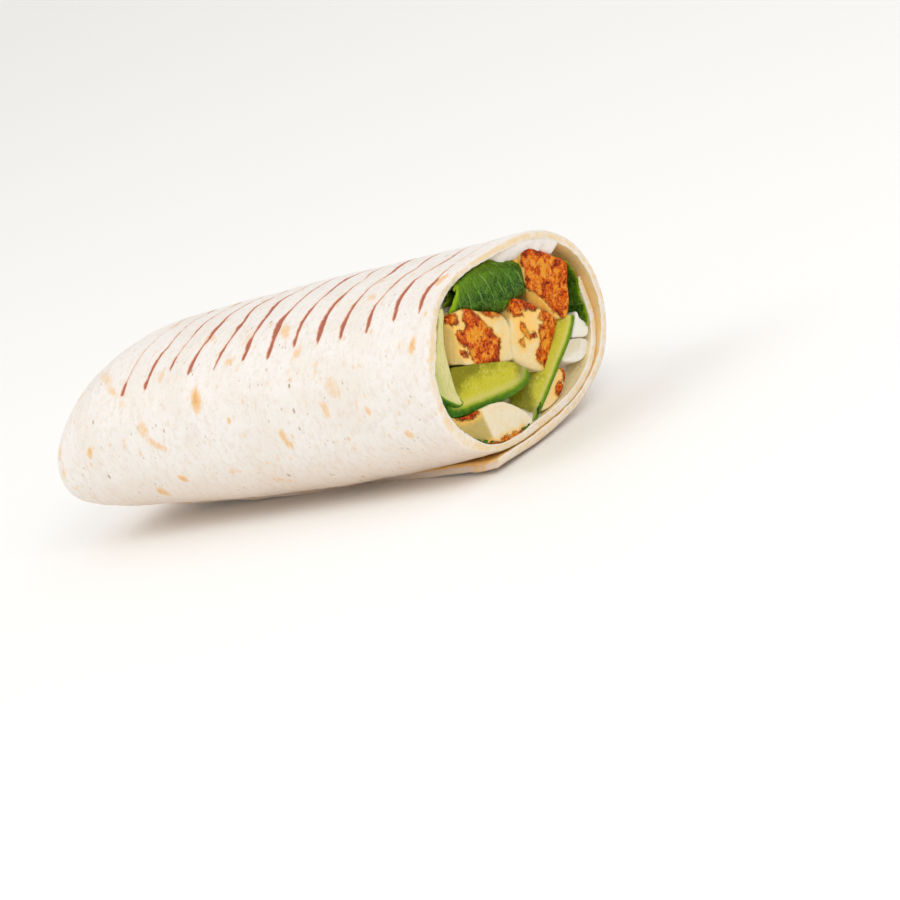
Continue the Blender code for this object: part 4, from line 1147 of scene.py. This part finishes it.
def make_cheese(name, spec, settings):
    seed = sum(ord(letter) for letter in name) * 0.37

    def browned(point):
        best = max([inside_depth(patch, point) for patch in spec["browned"]], default=-9.0)
        return max(-3.0, min(3.0, best))

    def relief(back, y, z, face):
        if not face:
            return 0.10 * rough(back / 4, y / 2.2, z / 2.2 + seed, 1.0, 2)
        brown = smooth_step(browned(Vector((y, z))) + 0.4)
        wrinkle = rough(y / 0.9, z / 0.9, seed, 1.0, 3) * settings.crust / MM
        lumps = 0.15 * rough(y / 2.6, z / 2.6, seed + 5, 1.0, 2)
        return lumps + wrinkle * (0.25 + 0.75 * brown) + 0.06 * brown

    def tint_and_shade(point, patches):
        return max([strength * smooth_step((inside_depth(patch, point) + 0.4) / 1.2)
                    for strength, patch in patches], default=0.0)

    def marks(point, back):
        light = 0.0
        for ly, lz, radius in spec["lighter"]:
            light = max(light, 1 - ((point - Vector((ly, lz))).length / radius) ** 2)
        return {"browned": browned(point) - 0.35 * min(back, 4.0), "lighter": max(0.0, light),
                "golden": tint_and_shade(point, spec["golden"]),
                "olive_shade": tint_and_shade(point, spec["olive_shade"]), "white": spec["white"]}

    rings, values = bar_rings(spec, CHEESE_RADIUS, relief, marks)
    return finished(loft(rings, values), "fried_" + name, cheese_material(settings))


def cheese_material(s):
    found = bpy.data.materials.get("fried_halloumi")
    if found:
        return found
    r = Recipe("fried_halloumi", Subsurface_Weight=0.12, Subsurface_Scale=0.0015,
               Subsurface_Radius=(1.0, 0.62, 0.30), Specular_IOR_Level=0.12)
    at = r.place()
    browned = r.layer("browned")
    fine = r.noise(at, 0.5, 5, 0.7, 0.6)
    broad = r.noise(at, 1.4, 4, 0.65, 0.4)
    ragged = r.times(r.less(r.sum(broad, fine), 1.0), 1.6)
    crust = r.band(r.sum(browned, ragged), -0.30, 0.25)
    halo = r.band(r.sum(browned, ragged), -1.6, -0.1)
    curd = r.mix(r.layer("white"), s.pale, s.white)
    clouds = r.times(r.band(r.noise(at, 3.0, 4, 0.6), 0.35, 0.7), 0.40)
    curd = r.mix(r.times(clouds, r.less(1.1, r.layer("white"))), curd, s.warm)
    # painted shade on the side faces: golden, partly the cheese's own colour, and olive, tinted
    # green beside the cucumber
    blotch = r.sum(r.times(broad, 0.5), 0.75)
    curd = r.mix(r.times(r.layer("golden"), blotch), curd, s.golden)
    curd = r.mix(r.times(r.layer("olive_shade"), 0.95), curd, s.olive_shade)
    curd = r.mix(r.times(halo, 0.8), curd, s.warm)

    # the crust: orange patches, a dark wrinkled net and small pale blisters
    patches = r.noise(at, 2.6, 3, 0.6, 0.6)
    fried = r.noise(at, 1.3, 5, 0.70, 1.3)
    fibres = r.noise(r.stretched(at, (1.0, 1.4, 0.8)), 0.55, 4, 0.66, 1.2)
    rim = r.band(browned, 1.2, 0.1)
    # The lighter places turn the crust towards gold and bring more painted glints: partly a
    # lighter fry, partly painted highlights where the crust shines.
    lift = r.times(r.layer("lighter"), 0.16)
    shade = r.sum(r.times(fried, 0.80), r.times(patches, 0.54), r.times(fibres, 0.30),
                  r.times(rim, 0.03))
    shade = r.less(shade, r.sum(lift, 0.32))
    fry = r.mix(r.band(shade, 0.37, 0.49), s.gold, s.brown)
    fry = r.mix(r.times(r.band(shade, 0.50, 0.60), 0.9), fry, s.dark)
    blisters = r.times(r.band(shade, 0.50, 0.42), r.band(fibres, 0.48, 0.58))
    fry = r.mix(r.times(blisters, 0.6), fry, s.warm)
    glints = r.times(r.band(r.noise(at, 0.36, 3, 0.6, 0.8), 0.62, 0.70),
                     r.band(shade, 0.66, 0.46))
    fry = r.mix(r.times(glints, 0.7), fry, s.pale)
    base = r.mix(crust, curd, fry)
    height = r.sum(r.times(r.sum(fried, r.times(fibres, 0.5)), r.sum(r.times(crust, 1.8), 0.2)),
                   r.times(fine, 0.4))
    shine = r.band(r.noise(at, 2.0, 3), 0.1, 0.9, smooth=False)
    rough_value = r.sum(r.times(shine, 0.25), 0.15)
    return r.finish(base, rough_value, height, 0.00030)


def make_cucumber(name, spec, settings):
    seed = sum(ord(letter) for letter in name) * 0.41

    def relief(back, y, z, face):
        size = 0.05 if face else 0.06
        return size * rough(y / 1.8 + back / 9, z / 1.8, seed, 1.0, 3)

    def marks(point, back):
        near = (nearest_on(spec["skin"], point) - point).length
        lit = 1 - ((nearest_on(spec["glow"], point) - point).length / spec["reach"]) ** 2
        return {"from_skin": near / spec["peel"], "glow": max(0.0, lit)}

    rings, values = bar_rings(spec, CUCUMBER_RADIUS, relief, marks)
    return finished(loft(rings, values), "fresh_" + name,
                    cucumber_material(settings, name, spec["pale"]))


def cucumber_material(s, name, pale):
    r = Recipe("cut_" + name, Subsurface_Weight=0.15, Subsurface_Scale=0.0015,
               Subsurface_Radius=(0.8, 1.0, 0.25), Specular_IOR_Level=0.14)
    at = r.place()
    from_skin = r.sum(r.layer("from_skin"), r.swing(r.noise(at, 1.6, 3), 0.35))
    streaks = r.noise(r.stretched(at, (1.0, 1.6, 0.30)), 0.6, 3, 0.6)
    wet = r.noise(at, 3.5, 4, 0.6)
    drops = r.noise(at, 0.7, 3, 0.6, 0.8)
    lit = r.sum(r.layer("glow"), r.swing(wet, 1.5), r.swing(drops, 0.9))
    flesh = r.mix(r.band(lit, 0.0, 1.0), s.olive_shade, s.lime)
    # pale flecks in the lit flesh: seeds, and painted wet highlights
    pips_and_glints = r.times(r.band(drops, 0.56, 0.68), r.band(lit, 0.1, 0.9))
    flesh = r.mix(r.times(pips_and_glints, 0.4), flesh, s.pale)
    flesh = r.mix(pale, flesh, s.pale)
    flesh = r.mix(r.times(r.band(streaks, 0.45, 0.7), 0.12 + 0.2 * pale), flesh, s.under)
    if pale:
        side = r.put("SeparateXYZ", {0: at}).outputs[1]
        flesh = r.mix(r.times(r.band(side, -22.2, -24.6), 0.35), flesh, s.under)
    base = r.mix(r.times(r.band(from_skin, 2.6, 1.5), 0.35), flesh, s.pale)
    base = r.mix(r.band(from_skin, 1.6, 1.0), base, s.under)
    mottled = r.times(r.band(r.noise(at, 1.1, 3), 0.40, 0.70), 0.22)
    # painted highlight: the skin is painted paler towards the right
    painted_skin_highlight = r.times(r.band(r.put("SeparateXYZ", {0: at}).outputs[1], -20, 6), 0.25)
    peel = r.mix(r.sum(r.times(r.band(from_skin, 0.5, 1.1), 0.3), mottled, painted_skin_highlight), s.skin,
                 s.under)
    base = r.mix(r.band(from_skin, 1.15, 0.95), base, peel)
    height = r.sum(r.times(streaks, 0.6), r.times(wet, 0.5), r.times(drops, 0.8))
    rough_value = r.sum(r.times(wet, 0.2), 0.06)
    return r.finish(base, rough_value, height, 0.00016)


# ---- the leaves -----------------------------------------------------------------------

# The folded leaf's upper and lower edge from left to right, seen on the cut face in mm.
FOLD_TOP = ((-13.2, 20.3), (-11.1, 20.5), (-8.6, 20.8), (-5.6, 20.9), (-2.6, 20.7), (0.7, 20.0),
            (3.8, 18.7), (6.2, 17.2), (7.7, 15.4), (8.3, 13.4), (8.4, 11.6))
FOLD_BOTTOM = ((-17.1, 14.8), (-14.7, 14.0), (-12.1, 13.1), (-9.1, 11.8), (-5.8, 10.2),
               (-3.0, 9.1), (-0.5, 8.6), (1.7, 8.9), (3.9, 9.2), (6.1, 9.4), (7.6, 10.1))
FOLD_SHARES = (0.0, 0.08, 0.18, 0.30, 0.43, 0.56, 0.69, 0.80, 0.89, 0.96, 1.0)
FOLD_RECESS = 0.5
FOLD_ROUNDNESS = 0.75
SCROLL_INNER_SHARE = 0.42
SCROLL_DEPTH = 88.0                  # mm that the folded leaf runs back from its fold
SIDE_ROWS, FOLD_ROWS = 22, 30        # points along its sides and round its front fold
LEAF_THICKNESS = 0.0005
LEAF_COLUMNS = 96

# The leaf along the wall: (y, z) in mm and how far its ragged edge sits behind the cut.
WALL_LEAF = ((22.4, 10.8, 3.0), (23.6, 8.6, 1.4), (24.0, 6.4, 0.9), (23.9, 4.4, 0.2),
             (23.6, 2.4, 0.6), (23.5, 0.8, 0.9), (23.3, -1.4, 0.2), (23.0, -4.4, 0.2),
             (22.5, -6.0, 1.0))
WALL_COLUMNS, WALL_ROWS = 72, 46
WALL_GAP = 0.0007                    # between the leaf and the sheet


def half_turn(centre, radius, side, start, steps):
    """Points of a half circle that starts above (1) or below (-1) its centre."""
    points = []
    for i in range(steps + 1):
        turn = math.pi * i / steps
        points.append((centre[0] + side * radius * math.sin(turn),
                       centre[1] + start * radius * math.cos(turn)))
    return points


def straight(start, end, steps):
    """Points between two ends, closer together towards the front, without the ends."""
    shares = [(i / steps) ** 1.6 for i in range(1, steps)]
    if start[0] > end[0]:
        shares = [1 - share for share in reversed(shares)]
    return [(start[0] + (end[0] - start[0]) * f, start[1] + (end[1] - start[1]) * f)
            for f in shares]


def scroll_path(height, depth):
    """The folded leaf from its end, as (distance back, level) in mm, outside to inside."""
    outer, inner = height / 2, height * SCROLL_INNER_SHARE / 2
    gap = outer - inner
    path = [(depth - outer, outer)]
    path += straight(path[-1], (outer, outer), SIDE_ROWS)
    path += half_turn((outer, 0), outer, -1, 1, FOLD_ROWS)
    path += straight(path[-1], (depth - outer, -outer), SIDE_ROWS)
    path += half_turn((depth - outer, -(outer + inner) / 2), gap / 2, 1, -1, 6)
    path += straight(path[-1], (outer + gap, -inner), 14)
    path += half_turn((outer + gap, 0), inner, -1, -1, 12)
    path += straight(path[-1], (depth - outer, inner), 8)
    path.append((depth - outer, inner))
    return path


def vein_height(along, across):
    """Height of the blade, from 0 on a vein to 1 between veins, in mm coordinates."""
    bend = along + 0.05 * across ** 2 + 0.5 * noise.noise(Vector((across / 3, along / 9, 0)))
    ribs = abs(((bend / 3.0) % 1) - 0.5) * 2
    return smooth_step((1 - ribs) / 0.35)


def fold_edges(share):
    top = [float(np.interp(share, FOLD_SHARES, [p[k] for p in FOLD_TOP])) for k in (0, 1)]
    low = [float(np.interp(share, FOLD_SHARES, [p[k] for p in FOLD_BOTTOM])) for k in (0, 1)]
    return Vector(top), Vector(low)


def make_folded_leaf(settings):
    count = len(scroll_path(8.0, SCROLL_DEPTH))
    bm = bmesh.new()
    leaf = bm.verts.layers.float_vector.new("leaf")
    points = grid(bm, LEAF_COLUMNS, count - 1)
    positions, ways = {}, {}
    for i in range(LEAF_COLUMNS + 1):
        column = i / LEAF_COLUMNS
        walked = 0.0
        for j in range(count):
            # the left margin of the front layer is folded away in a slanting notch
            turn = (j - SIDE_ROWS - 1) / FOLD_ROWS
            notch = 0.10 * smooth_step((turn - 0.22) / 0.10) * smooth_step((1.0 - turn) / 0.75)
            share = notch + (1 - notch) * column
            top, low = fold_edges(share)
            height = (top - low).length
            path = scroll_path(height, SCROLL_DEPTH)
            back, level = path[j]
            if j:
                walked += math.dist(path[j], path[j - 1])
            if back < height / 2:
                back *= FOLD_ROUNDNESS
            elif level * level > height * height / 5:
                back -= (1 - FOLD_ROUNDNESS) * height / 2
            seen = low + (top - low) * (level / height + 0.5)
            recess = FOLD_RECESS + 1.4 * smooth_step((share - 0.86) / 0.14) ** 2
            sway = 0.30 * noise.noise(Vector((back / 7, level / 3, share * 3)))
            turn_depth = min(back, height / 2)
            positions[i, j] = behind_cut(seen + Vector((0, sway * 0.5)), recess + turn_depth,
                                         back - turn_depth)
            along = seen.x + (seen.y - 14) * 0.25
            ways[i, j] = (along, walked - 86, (share - notch) * (22 + 240 * notch))
    for (i, j), vertex in points.items():
        along = positions[i, min(j + 1, count - 1)] - positions[i, max(j - 1, 0)]
        across = positions[min(i + 1, LEAF_COLUMNS), j] - positions[max(i - 1, 0), j]
        normal = across.cross(along).normalized()
        y, walked, _ = ways[i, j]
        lumps = 0.7 + 0.6 * noise.noise(Vector((y / 1.5, walked / 1.5, 1)))
        raised = vein_height(y, walked) * lumps - 0.6
        vertex.co = positions[i, j] + normal * raised * settings.pucker
        vertex[leaf] = ways[i, j]
    bmesh.ops.solidify(bm, geom=bm.faces[:], thickness=LEAF_THICKNESS)
    return finished(bm, "folded_spinach", leaf_material(settings))


def make_wall_leaf(settings):
    """The leaf along the wall on the right, with its jagged front edge."""
    steps = [0.0]
    for a, b in zip(WALL_LEAF, WALL_LEAF[1:]):
        steps.append(steps[-1] + math.dist(a[:2], b[:2]))
    bm = bmesh.new()
    leaf = bm.verts.layers.float_vector.new("leaf")
    for (i, j), vertex in grid(bm, WALL_COLUMNS, WALL_ROWS).items():
        way = steps[-1] * i / WALL_COLUMNS
        y, z, edge = (float(np.interp(way, steps, [p[k] for p in WALL_LEAF])) for k in range(3))
        edge += 0.35 * noise.noise(Vector((way / 0.8, 2.0, 0)))
        edge += 0.15 * noise.noise(Vector((way / 0.3, 5.0, 0)))
        front = CUT_X / MM + slant(y, z) - edge
        back = (j / WALL_ROWS) ** 2.2 * (front - BAR_END_X / MM)
        x = (front - back) * MM
        inward = 0.7 * math.exp(-back / 1.6) + 0.4 * noise.noise(Vector((way / 2, back / 4, 3)))
        y, z = follow_roll(x, (y - max(-0.2, inward)) * MM, z * MM)
        vertex.co = (x, *keep_inside(x, y, z, WALL_GAP))
        vertex[leaf] = (way * 0.6 + back * 0.5, back - way * 0.5, back + 0.6)
    bmesh.ops.solidify(bm, geom=bm.faces[:], thickness=LEAF_THICKNESS)
    return finished(bm, "wall_spinach", leaf_material(settings))


def leaf_material(s):
    found = bpy.data.materials.get("spinach_leaf")
    if found:
        return found
    r = Recipe("spinach_leaf", Subsurface_Weight=0.08, Subsurface_Scale=0.001,
               Subsurface_Radius=(0.5, 1.0, 0.2), Specular_IOR_Level=0.12)
    leaf = r.layer("leaf", vector=True)
    along, across, margin = r.put("SeparateXYZ", {0: leaf}).outputs[:3]
    bend = r.times(across, across, 0.05)
    wander = r.swing(r.noise(leaf, 4.0, 2), 1.6)
    ribs = r.math("PINGPONG", r.math("DIVIDE", r.sum(along, bend, wander), 3.0), 0.5)
    vein = r.times(r.band(ribs, 0.07, 0.015), r.band(r.noise(leaf, 2.5, 2), 0.38, 0.6))
    net = r.band(r.cell_edges(leaf, 1.3), 0.10, 0.02)
    patchy = r.noise(leaf, 1.6, 5, 0.62)
    shade = r.swing(r.noise(leaf, 5.0, 3), 0.3)
    # painted light and shade: the blade is fresher green where it is raised and deep green in its
    # hollows, and its highest parts get pale painted highlights
    base = r.mix(r.band(r.sum(patchy, shade), 0.38, 0.66), s.deep, s.fresh)
    base = r.mix(r.times(r.band(patchy, 0.60, 0.74), 0.35), base, s.vein)
    # painted light: the folded leaf is painted lighter towards its top, where the light falls
    upper = r.band(r.put("SeparateXYZ", {0: r.place()}).outputs[2], 35, 41)
    base = r.mix(r.times(upper, 0.26), base, s.lime)
    base = r.mix(r.times(net, 0.30), base, s.vein)
    base = r.mix(r.times(vein, 0.85), base, s.vein)
    base = r.mix(r.times(r.band(margin, 1.9, 0.5), 0.9), base, s.lime)
    height = r.sum(r.times(patchy, 0.8), r.times(net, -0.4), r.times(vein, -0.6))
    return r.finish(base, r.band(patchy, -0.3, 1.9, smooth=False), height, 0.00018)


# ---- the sauce ------------------------------------------------------------------------

# (angle, how far the sauce sits behind the cut along the wall there, in mm).
SAUCE_EDGE = ((-150, 1.7), (-120, 1.2), (-100, 1.1), (-91, 1.4), (-82, 4.0), (-30, 7.0),
              (10, 6.5), (34, 5.5), (45, -0.1), (68, -0.2), (80, 0.6), (92, 4.5), (120, 5.5),
              (150, 4.0), (185, 2.4), (210, 1.7))
SAUCE_MIDDLE_RECESS = 6.0
SAUCE_COLUMNS = 260
SAUCE_RINGS = 34
SAUCE_START = INNER_ANGLE - 359.2    # just past the sheet's inner free edge
SAUCE_OVERLAP = 0.0003               # reaches this far into the sheet, so no gap shows
SAUCE_STATIONS = (TAIL_X + 0.0004, TAIL_X + 0.0005, -0.040, -0.020, 0.0, 0.015, 0.030, 0.040)


def edge_recess(degrees):
    """How far the sauce sits behind the cut along the wall at an angle, in mm."""
    turn = (degrees + 150) % 360 - 150
    for (a, first), (b, second) in zip(SAUCE_EDGE, SAUCE_EDGE[1:]):
        if a <= turn <= b:
            return first + (second - first) * smooth_step((turn - a) / (b - a))
    return SAUCE_EDGE[0][1]


def sauce_wall(x, degrees):
    """Point (y, z) where the sauce ends in the sheet's inner face at station x."""
    flare = rim_shape(degrees)[2] * MM * smooth_step(1 - (CUT_X - x) / FLARE_REACH)
    level = outer_depth(x, degrees) + SHEET * pressed(x, degrees) - SAUCE_OVERLAP
    return skin(section(x), degrees, level - flare)


def make_sauce(settings):
    angles = [SAUCE_START + 360 * i / SAUCE_COLUMNS for i in range(SAUCE_COLUMNS)]
    rings = []
    for x in SAUCE_STATIONS:
        middle = Vector((0, section(x)[1]))
        share = 0.5 if x == SAUCE_STATIONS[0] else 1.0
        spots = [middle + (Vector(sauce_wall(x, a)) - middle) * share for a in angles]
        rings.append([Vector((x, *spot)) for spot in spots])
    middle = section(CUT_X)[1]
    for step in range(SAUCE_RINGS):
        share = 1 - (step / (SAUCE_RINGS - 0.5)) ** 1.35
        dip = smooth_step((1 - share) * 2.6)
        calm = 0.35 + 0.65 * smooth_step((1 - share) * 9)
        ring = []
        for a in angles:
            y, z = sauce_wall(CUT_X, a)
            y, z = y * share, middle + (z - middle) * share
            edge = edge_recess(a)
            recess = edge + (SAUCE_MIDDLE_RECESS - edge) * dip
            lumps = 0.55 * rough(y / MM, z / MM, 0.0, 3.2, 3)
            lumps += 0.22 * rough(y / MM, z / MM, 4.0, 1.1, 2)
            ring.append(Vector((CUT_X + slant(y, z) - (recess - lumps * calm) * MM, y, z)))
        rings.append(ring)
    return finished(loft(rings), "white_sauce", sauce_material(settings))


def sauce_material(s):
    r = Recipe("white_sauce", Subsurface_Weight=0.25, Subsurface_Scale=0.002,
               Subsurface_Radius=(1.0, 0.8, 0.6), Specular_IOR_Level=0.55, Coat_Weight=0.2,
               Coat_Roughness=0.15)
    at = r.place()
    folds = r.noise(at, 2.4, 4, 0.55, 0.8)
    y, z = r.put("SeparateXYZ", {0: at}).outputs[1:3]
    lift = r.less(z, 22.1)
    far = r.math("SQRT", r.sum(r.times(y, y), r.times(lift, lift, 1.9)))
    # painted shade: the sauce's middle, deep between the pieces, is darkened towards the tinted
    # olive-brown
    middle = r.band(r.sum(far, r.times(folds, 3.0)), 24.5, 21.0)
    base = r.mix(r.times(middle, 0.85), s.white, s.tint_and_shade)
    leafy = r.times(r.band(r.noise(at, 1.5, 3, 0.6, 0.7), 0.57, 0.62), middle)
    base = r.mix(r.times(leafy, 0.8), base, tone(84, 112, 34))
    rough_value = r.sum(r.times(folds, 0.3), 0.2)
    return r.finish(base, rough_value, r.sum(folds, r.noise(at, 0.6, 3)), 0.00018)


# Bits of chopped leaf in the sauce below the cheese: (y, z) seen on the cut face in mm,
# how far back, half length, half width and turn in degrees.
LEAF_BITS = (
    (-21.4, -11.9, 0.6, 0.7, 0.32, -40), (-20.1, -12.8, 0.5, 0.9, 0.38, -30),
    (-18.3, -13.9, 0.5, 0.9, 0.40, -24), (-16.6, -14.8, 0.8, 0.5, 0.22, -20),
    (-10.6, -17.2, 0.5, 1.2, 0.42, -6), (-9.2, -17.4, 0.7, 0.9, 0.30, 12),
    (-6.1, -17.0, 0.5, 0.9, 0.36, 16), (-4.9, -16.9, 0.6, 0.7, 0.28, 30),
    (-0.7, -15.2, 0.7, 1.0, 0.26, 48), (0.4, -14.6, 0.9, 0.7, 0.22, 50),
    (-13.6, -16.4, 0.7, 0.6, 0.20, -12),
)


def make_leaf_bits(settings):
    bm = bmesh.new()
    leaf = bm.verts.layers.float_vector.new("leaf")
    for number, (y, z, recess, long, wide, turn) in enumerate(LEAF_BITS):
        c, s = math.cos(math.radians(turn)), math.sin(math.radians(turn))
        for vertex in bmesh.ops.create_icosphere(bm, subdivisions=4, radius=1.0)["verts"]:
            u, v, w = vertex.co
            ragged = 1 + 0.6 * noise.noise(Vector((u * 2.2, v * 1.5, number * 3.1)))
            a, b = u * long, v * wide * ragged
            sway = 0.35 * noise.noise(Vector((a, b, number)))
            y_here, z_here = y + a * c - b * s, z + a * s + b * c
            y_here, z_here = y_here + SIGHT.x * recess, z_here + SIGHT.y * recess
            x = CUT_X / MM + slant(y_here, z_here) - recess + w * 0.22 + sway
            vertex.co = Vector((x, y_here, z_here + section(CUT_X)[1] / MM)) * MM
            vertex[leaf] = (a + number * 5, b * 2, 3.0)
    return finished(bm, "chopped_spinach", leaf_material(settings))


# ---- the studio -----------------------------------------------------------------------

# The camera in the roll's own frame: where it stands and which way is right and up.
CAMERA_PLACE = (0.543948, -0.557112, 0.178027)
CAMERA_RIGHT = (0.73897198, 0.55522139, -0.38164071)
CAMERA_UP = (0.13030077, 0.43798229, 0.88949043)
CAMERA_BACK = (0.66101598, -0.70703658, 0.25131086)

# Soft lights: place, what they point at, width, all in metres, and tint.
LIGHTS = {
    "key": ((-0.50, -0.52, 0.85), (0, 0, 0.02), 0.6, (1.0, 0.985, 0.96)),
    "fill": ((0.74, -0.34, 0.62), (0.06, 0, 0.03), 0.5, (1.0, 1.0, 1.0)),
}


def soft_light(name, power):
    place, target, size, tint = LIGHTS[name]
    data = bpy.data.lights.new(name, "AREA")
    data.shape = "RECTANGLE"
    data.size = data.size_y = size
    data.energy = power
    data.color = tint
    lamp = bpy.data.objects.new(name, data)
    lamp.location = place
    lamp.rotation_euler = (Vector(target) - Vector(place)).to_track_quat("-Z", "Y").to_euler()
    bpy.context.scene.collection.objects.link(lamp)


def make_studio(settings):
    bm = bmesh.new()
    bmesh.ops.create_grid(bm, x_segments=8, y_segments=8, size=3.0)
    mesh = bpy.data.meshes.new("floor")
    bm.to_mesh(mesh)
    bm.free()
    r = Recipe("pale_floor", Roughness=0.6, Specular_IOR_Level=0.2)
    at = r.put("TexCoord").outputs["Object"]
    cloud = r.put("TexNoise", {"Vector": at, "Scale": 3.0, "Detail": 2.0}).outputs["Fac"]
    base = r.mix(r.times(cloud, 0.25), settings.floor, tone(247, 246, 244))
    grain = r.put("TexNoise", {"Vector": at, "Scale": 900.0, "Detail": 2.0}).outputs["Fac"]
    mesh.materials.append(r.finish(base, None, grain, 0.00005))
    floor = bpy.data.objects.new("floor", mesh)
    bpy.context.scene.collection.objects.link(floor)

    soft_light("key", settings.key)
    soft_light("fill", settings.fill)
    world = bpy.data.worlds.new("surround")
    world.use_nodes = True
    backdrop = world.node_tree.nodes["Background"]
    backdrop.inputs["Color"].default_value = (1.0, 0.995, 0.985, 1.0)
    backdrop.inputs["Strength"].default_value = settings.sky
    bpy.context.scene.world = world
    bpy.context.scene.view_settings.view_transform = "Standard"

    data = bpy.data.cameras.new("camera")
    data.sensor_width = 36.0
    data.lens = settings.lens
    data.clip_start, data.clip_end = 0.05, 20.0
    camera = bpy.data.objects.new("camera", data)
    axes = Matrix((CAMERA_RIGHT, CAMERA_UP, CAMERA_BACK)).transposed().to_4x4()
    camera.matrix_world = Matrix.Translation(Vector(CAMERA_PLACE) + HOME) @ axes
    bpy.context.scene.collection.objects.link(camera)
    bpy.context.scene.camera = camera


# ---- operators and panel --------------------------------------------------------------

class WRAP_OT_tortilla(bpy.types.Operator):
    """Roll the tortilla with its grill marks, toasted spots and folded tail"""
    bl_idname = "wrap.tortilla"
    bl_label = "Tortilla"

    def execute(self, context):
        serve(make_tortilla(context.scene.wrap_tortilla), "tortilla", "tortilla")
        return {"FINISHED"}


class WRAP_OT_halloumi(bpy.types.Operator):
    """Lay the fried halloumi pieces in the roll"""
    bl_idname = "wrap.halloumi"
    bl_label = "Halloumi"

    def execute(self, context):
        for name, spec in CHEESE.items():
            piece = make_cheese(name, {**PLAIN, **spec}, context.scene.wrap_halloumi)
            serve(piece, "halloumi", name)
        return {"FINISHED"}


class WRAP_OT_cucumber(bpy.types.Operator):
    """Lay the cucumber slices in the roll"""
    bl_idname = "wrap.cucumber"
    bl_label = "Cucumber"

    def execute(self, context):
        for name, spec in CUCUMBER.items():
            piece = make_cucumber(name, {**PLAIN, **spec}, context.scene.wrap_cucumber)
            serve(piece, "cucumber", name)
        return {"FINISHED"}


class WRAP_OT_spinach(bpy.types.Operator):
    """Fold the spinach leaves into the roll"""
    bl_idname = "wrap.spinach"
    bl_label = "Spinach"

    def execute(self, context):
        settings = context.scene.wrap_spinach
        serve(make_folded_leaf(settings), "spinach", "spinach_folded")
        serve(make_wall_leaf(settings), "spinach", "spinach_wall")
        serve(make_leaf_bits(settings), "spinach")
        return {"FINISHED"}


class WRAP_OT_sauce(bpy.types.Operator):
    """Fill the room between the pieces with white sauce"""
    bl_idname = "wrap.sauce"
    bl_label = "Sauce"

    def execute(self, context):
        serve(make_sauce(context.scene.wrap_sauce), "sauce", "sauce")
        return {"FINISHED"}


class WRAP_OT_studio(bpy.types.Operator):
    """Set up the pale floor, the soft lights and the camera"""
    bl_idname = "wrap.studio"
    bl_label = "Studio"

    def execute(self, context):
        make_studio(context.scene.wrap_studio)
        return {"FINISHED"}


OPERATORS = (WRAP_OT_studio, WRAP_OT_tortilla, WRAP_OT_sauce, WRAP_OT_halloumi,
             WRAP_OT_cucumber, WRAP_OT_spinach)
SETTINGS = {
    "wrap_tortilla": WrapTortillaSettings,
    "wrap_halloumi": WrapHalloumiSettings,
    "wrap_cucumber": WrapCucumberSettings,
    "wrap_spinach": WrapSpinachSettings,
    "wrap_sauce": WrapSauceSettings,
    "wrap_studio": WrapStudioSettings,
}


class WRAP_PT_panel(bpy.types.Panel):
    """The wrap's pieces and settings"""
    bl_idname = "WRAP_PT_panel"
    bl_label = "Halloumi wrap"
    bl_space_type = "VIEW_3D"
    bl_region_type = "UI"
    bl_category = "Wrap"

    def draw(self, context):
        for operator in OPERATORS:
            self.layout.operator(operator.bl_idname)
        for name, group in SETTINGS.items():
            box = self.layout.box()
            box.label(text=name.replace("wrap_", "").capitalize())
            for setting in group.__annotations__:
                box.prop(getattr(context.scene, name), setting)


def register():
    for kind in (*SETTINGS.values(), *OPERATORS, WRAP_PT_panel):
        bpy.utils.register_class(kind)
    for name, group in SETTINGS.items():
        setattr(bpy.types.Scene, name, PointerProperty(type=group))


def unregister():
    for name in SETTINGS:
        delattr(bpy.types.Scene, name)
    for kind in (WRAP_PT_panel, *reversed(OPERATORS), *reversed(SETTINGS.values())):
        bpy.utils.unregister_class(kind)


def main():
    register()
    bpy.ops.wrap.studio()
    bpy.ops.wrap.tortilla()
    bpy.ops.wrap.sauce()
    bpy.ops.wrap.halloumi()
    bpy.ops.wrap.cucumber()
    bpy.ops.wrap.spinach()


if __name__ == "__main__":
    main()
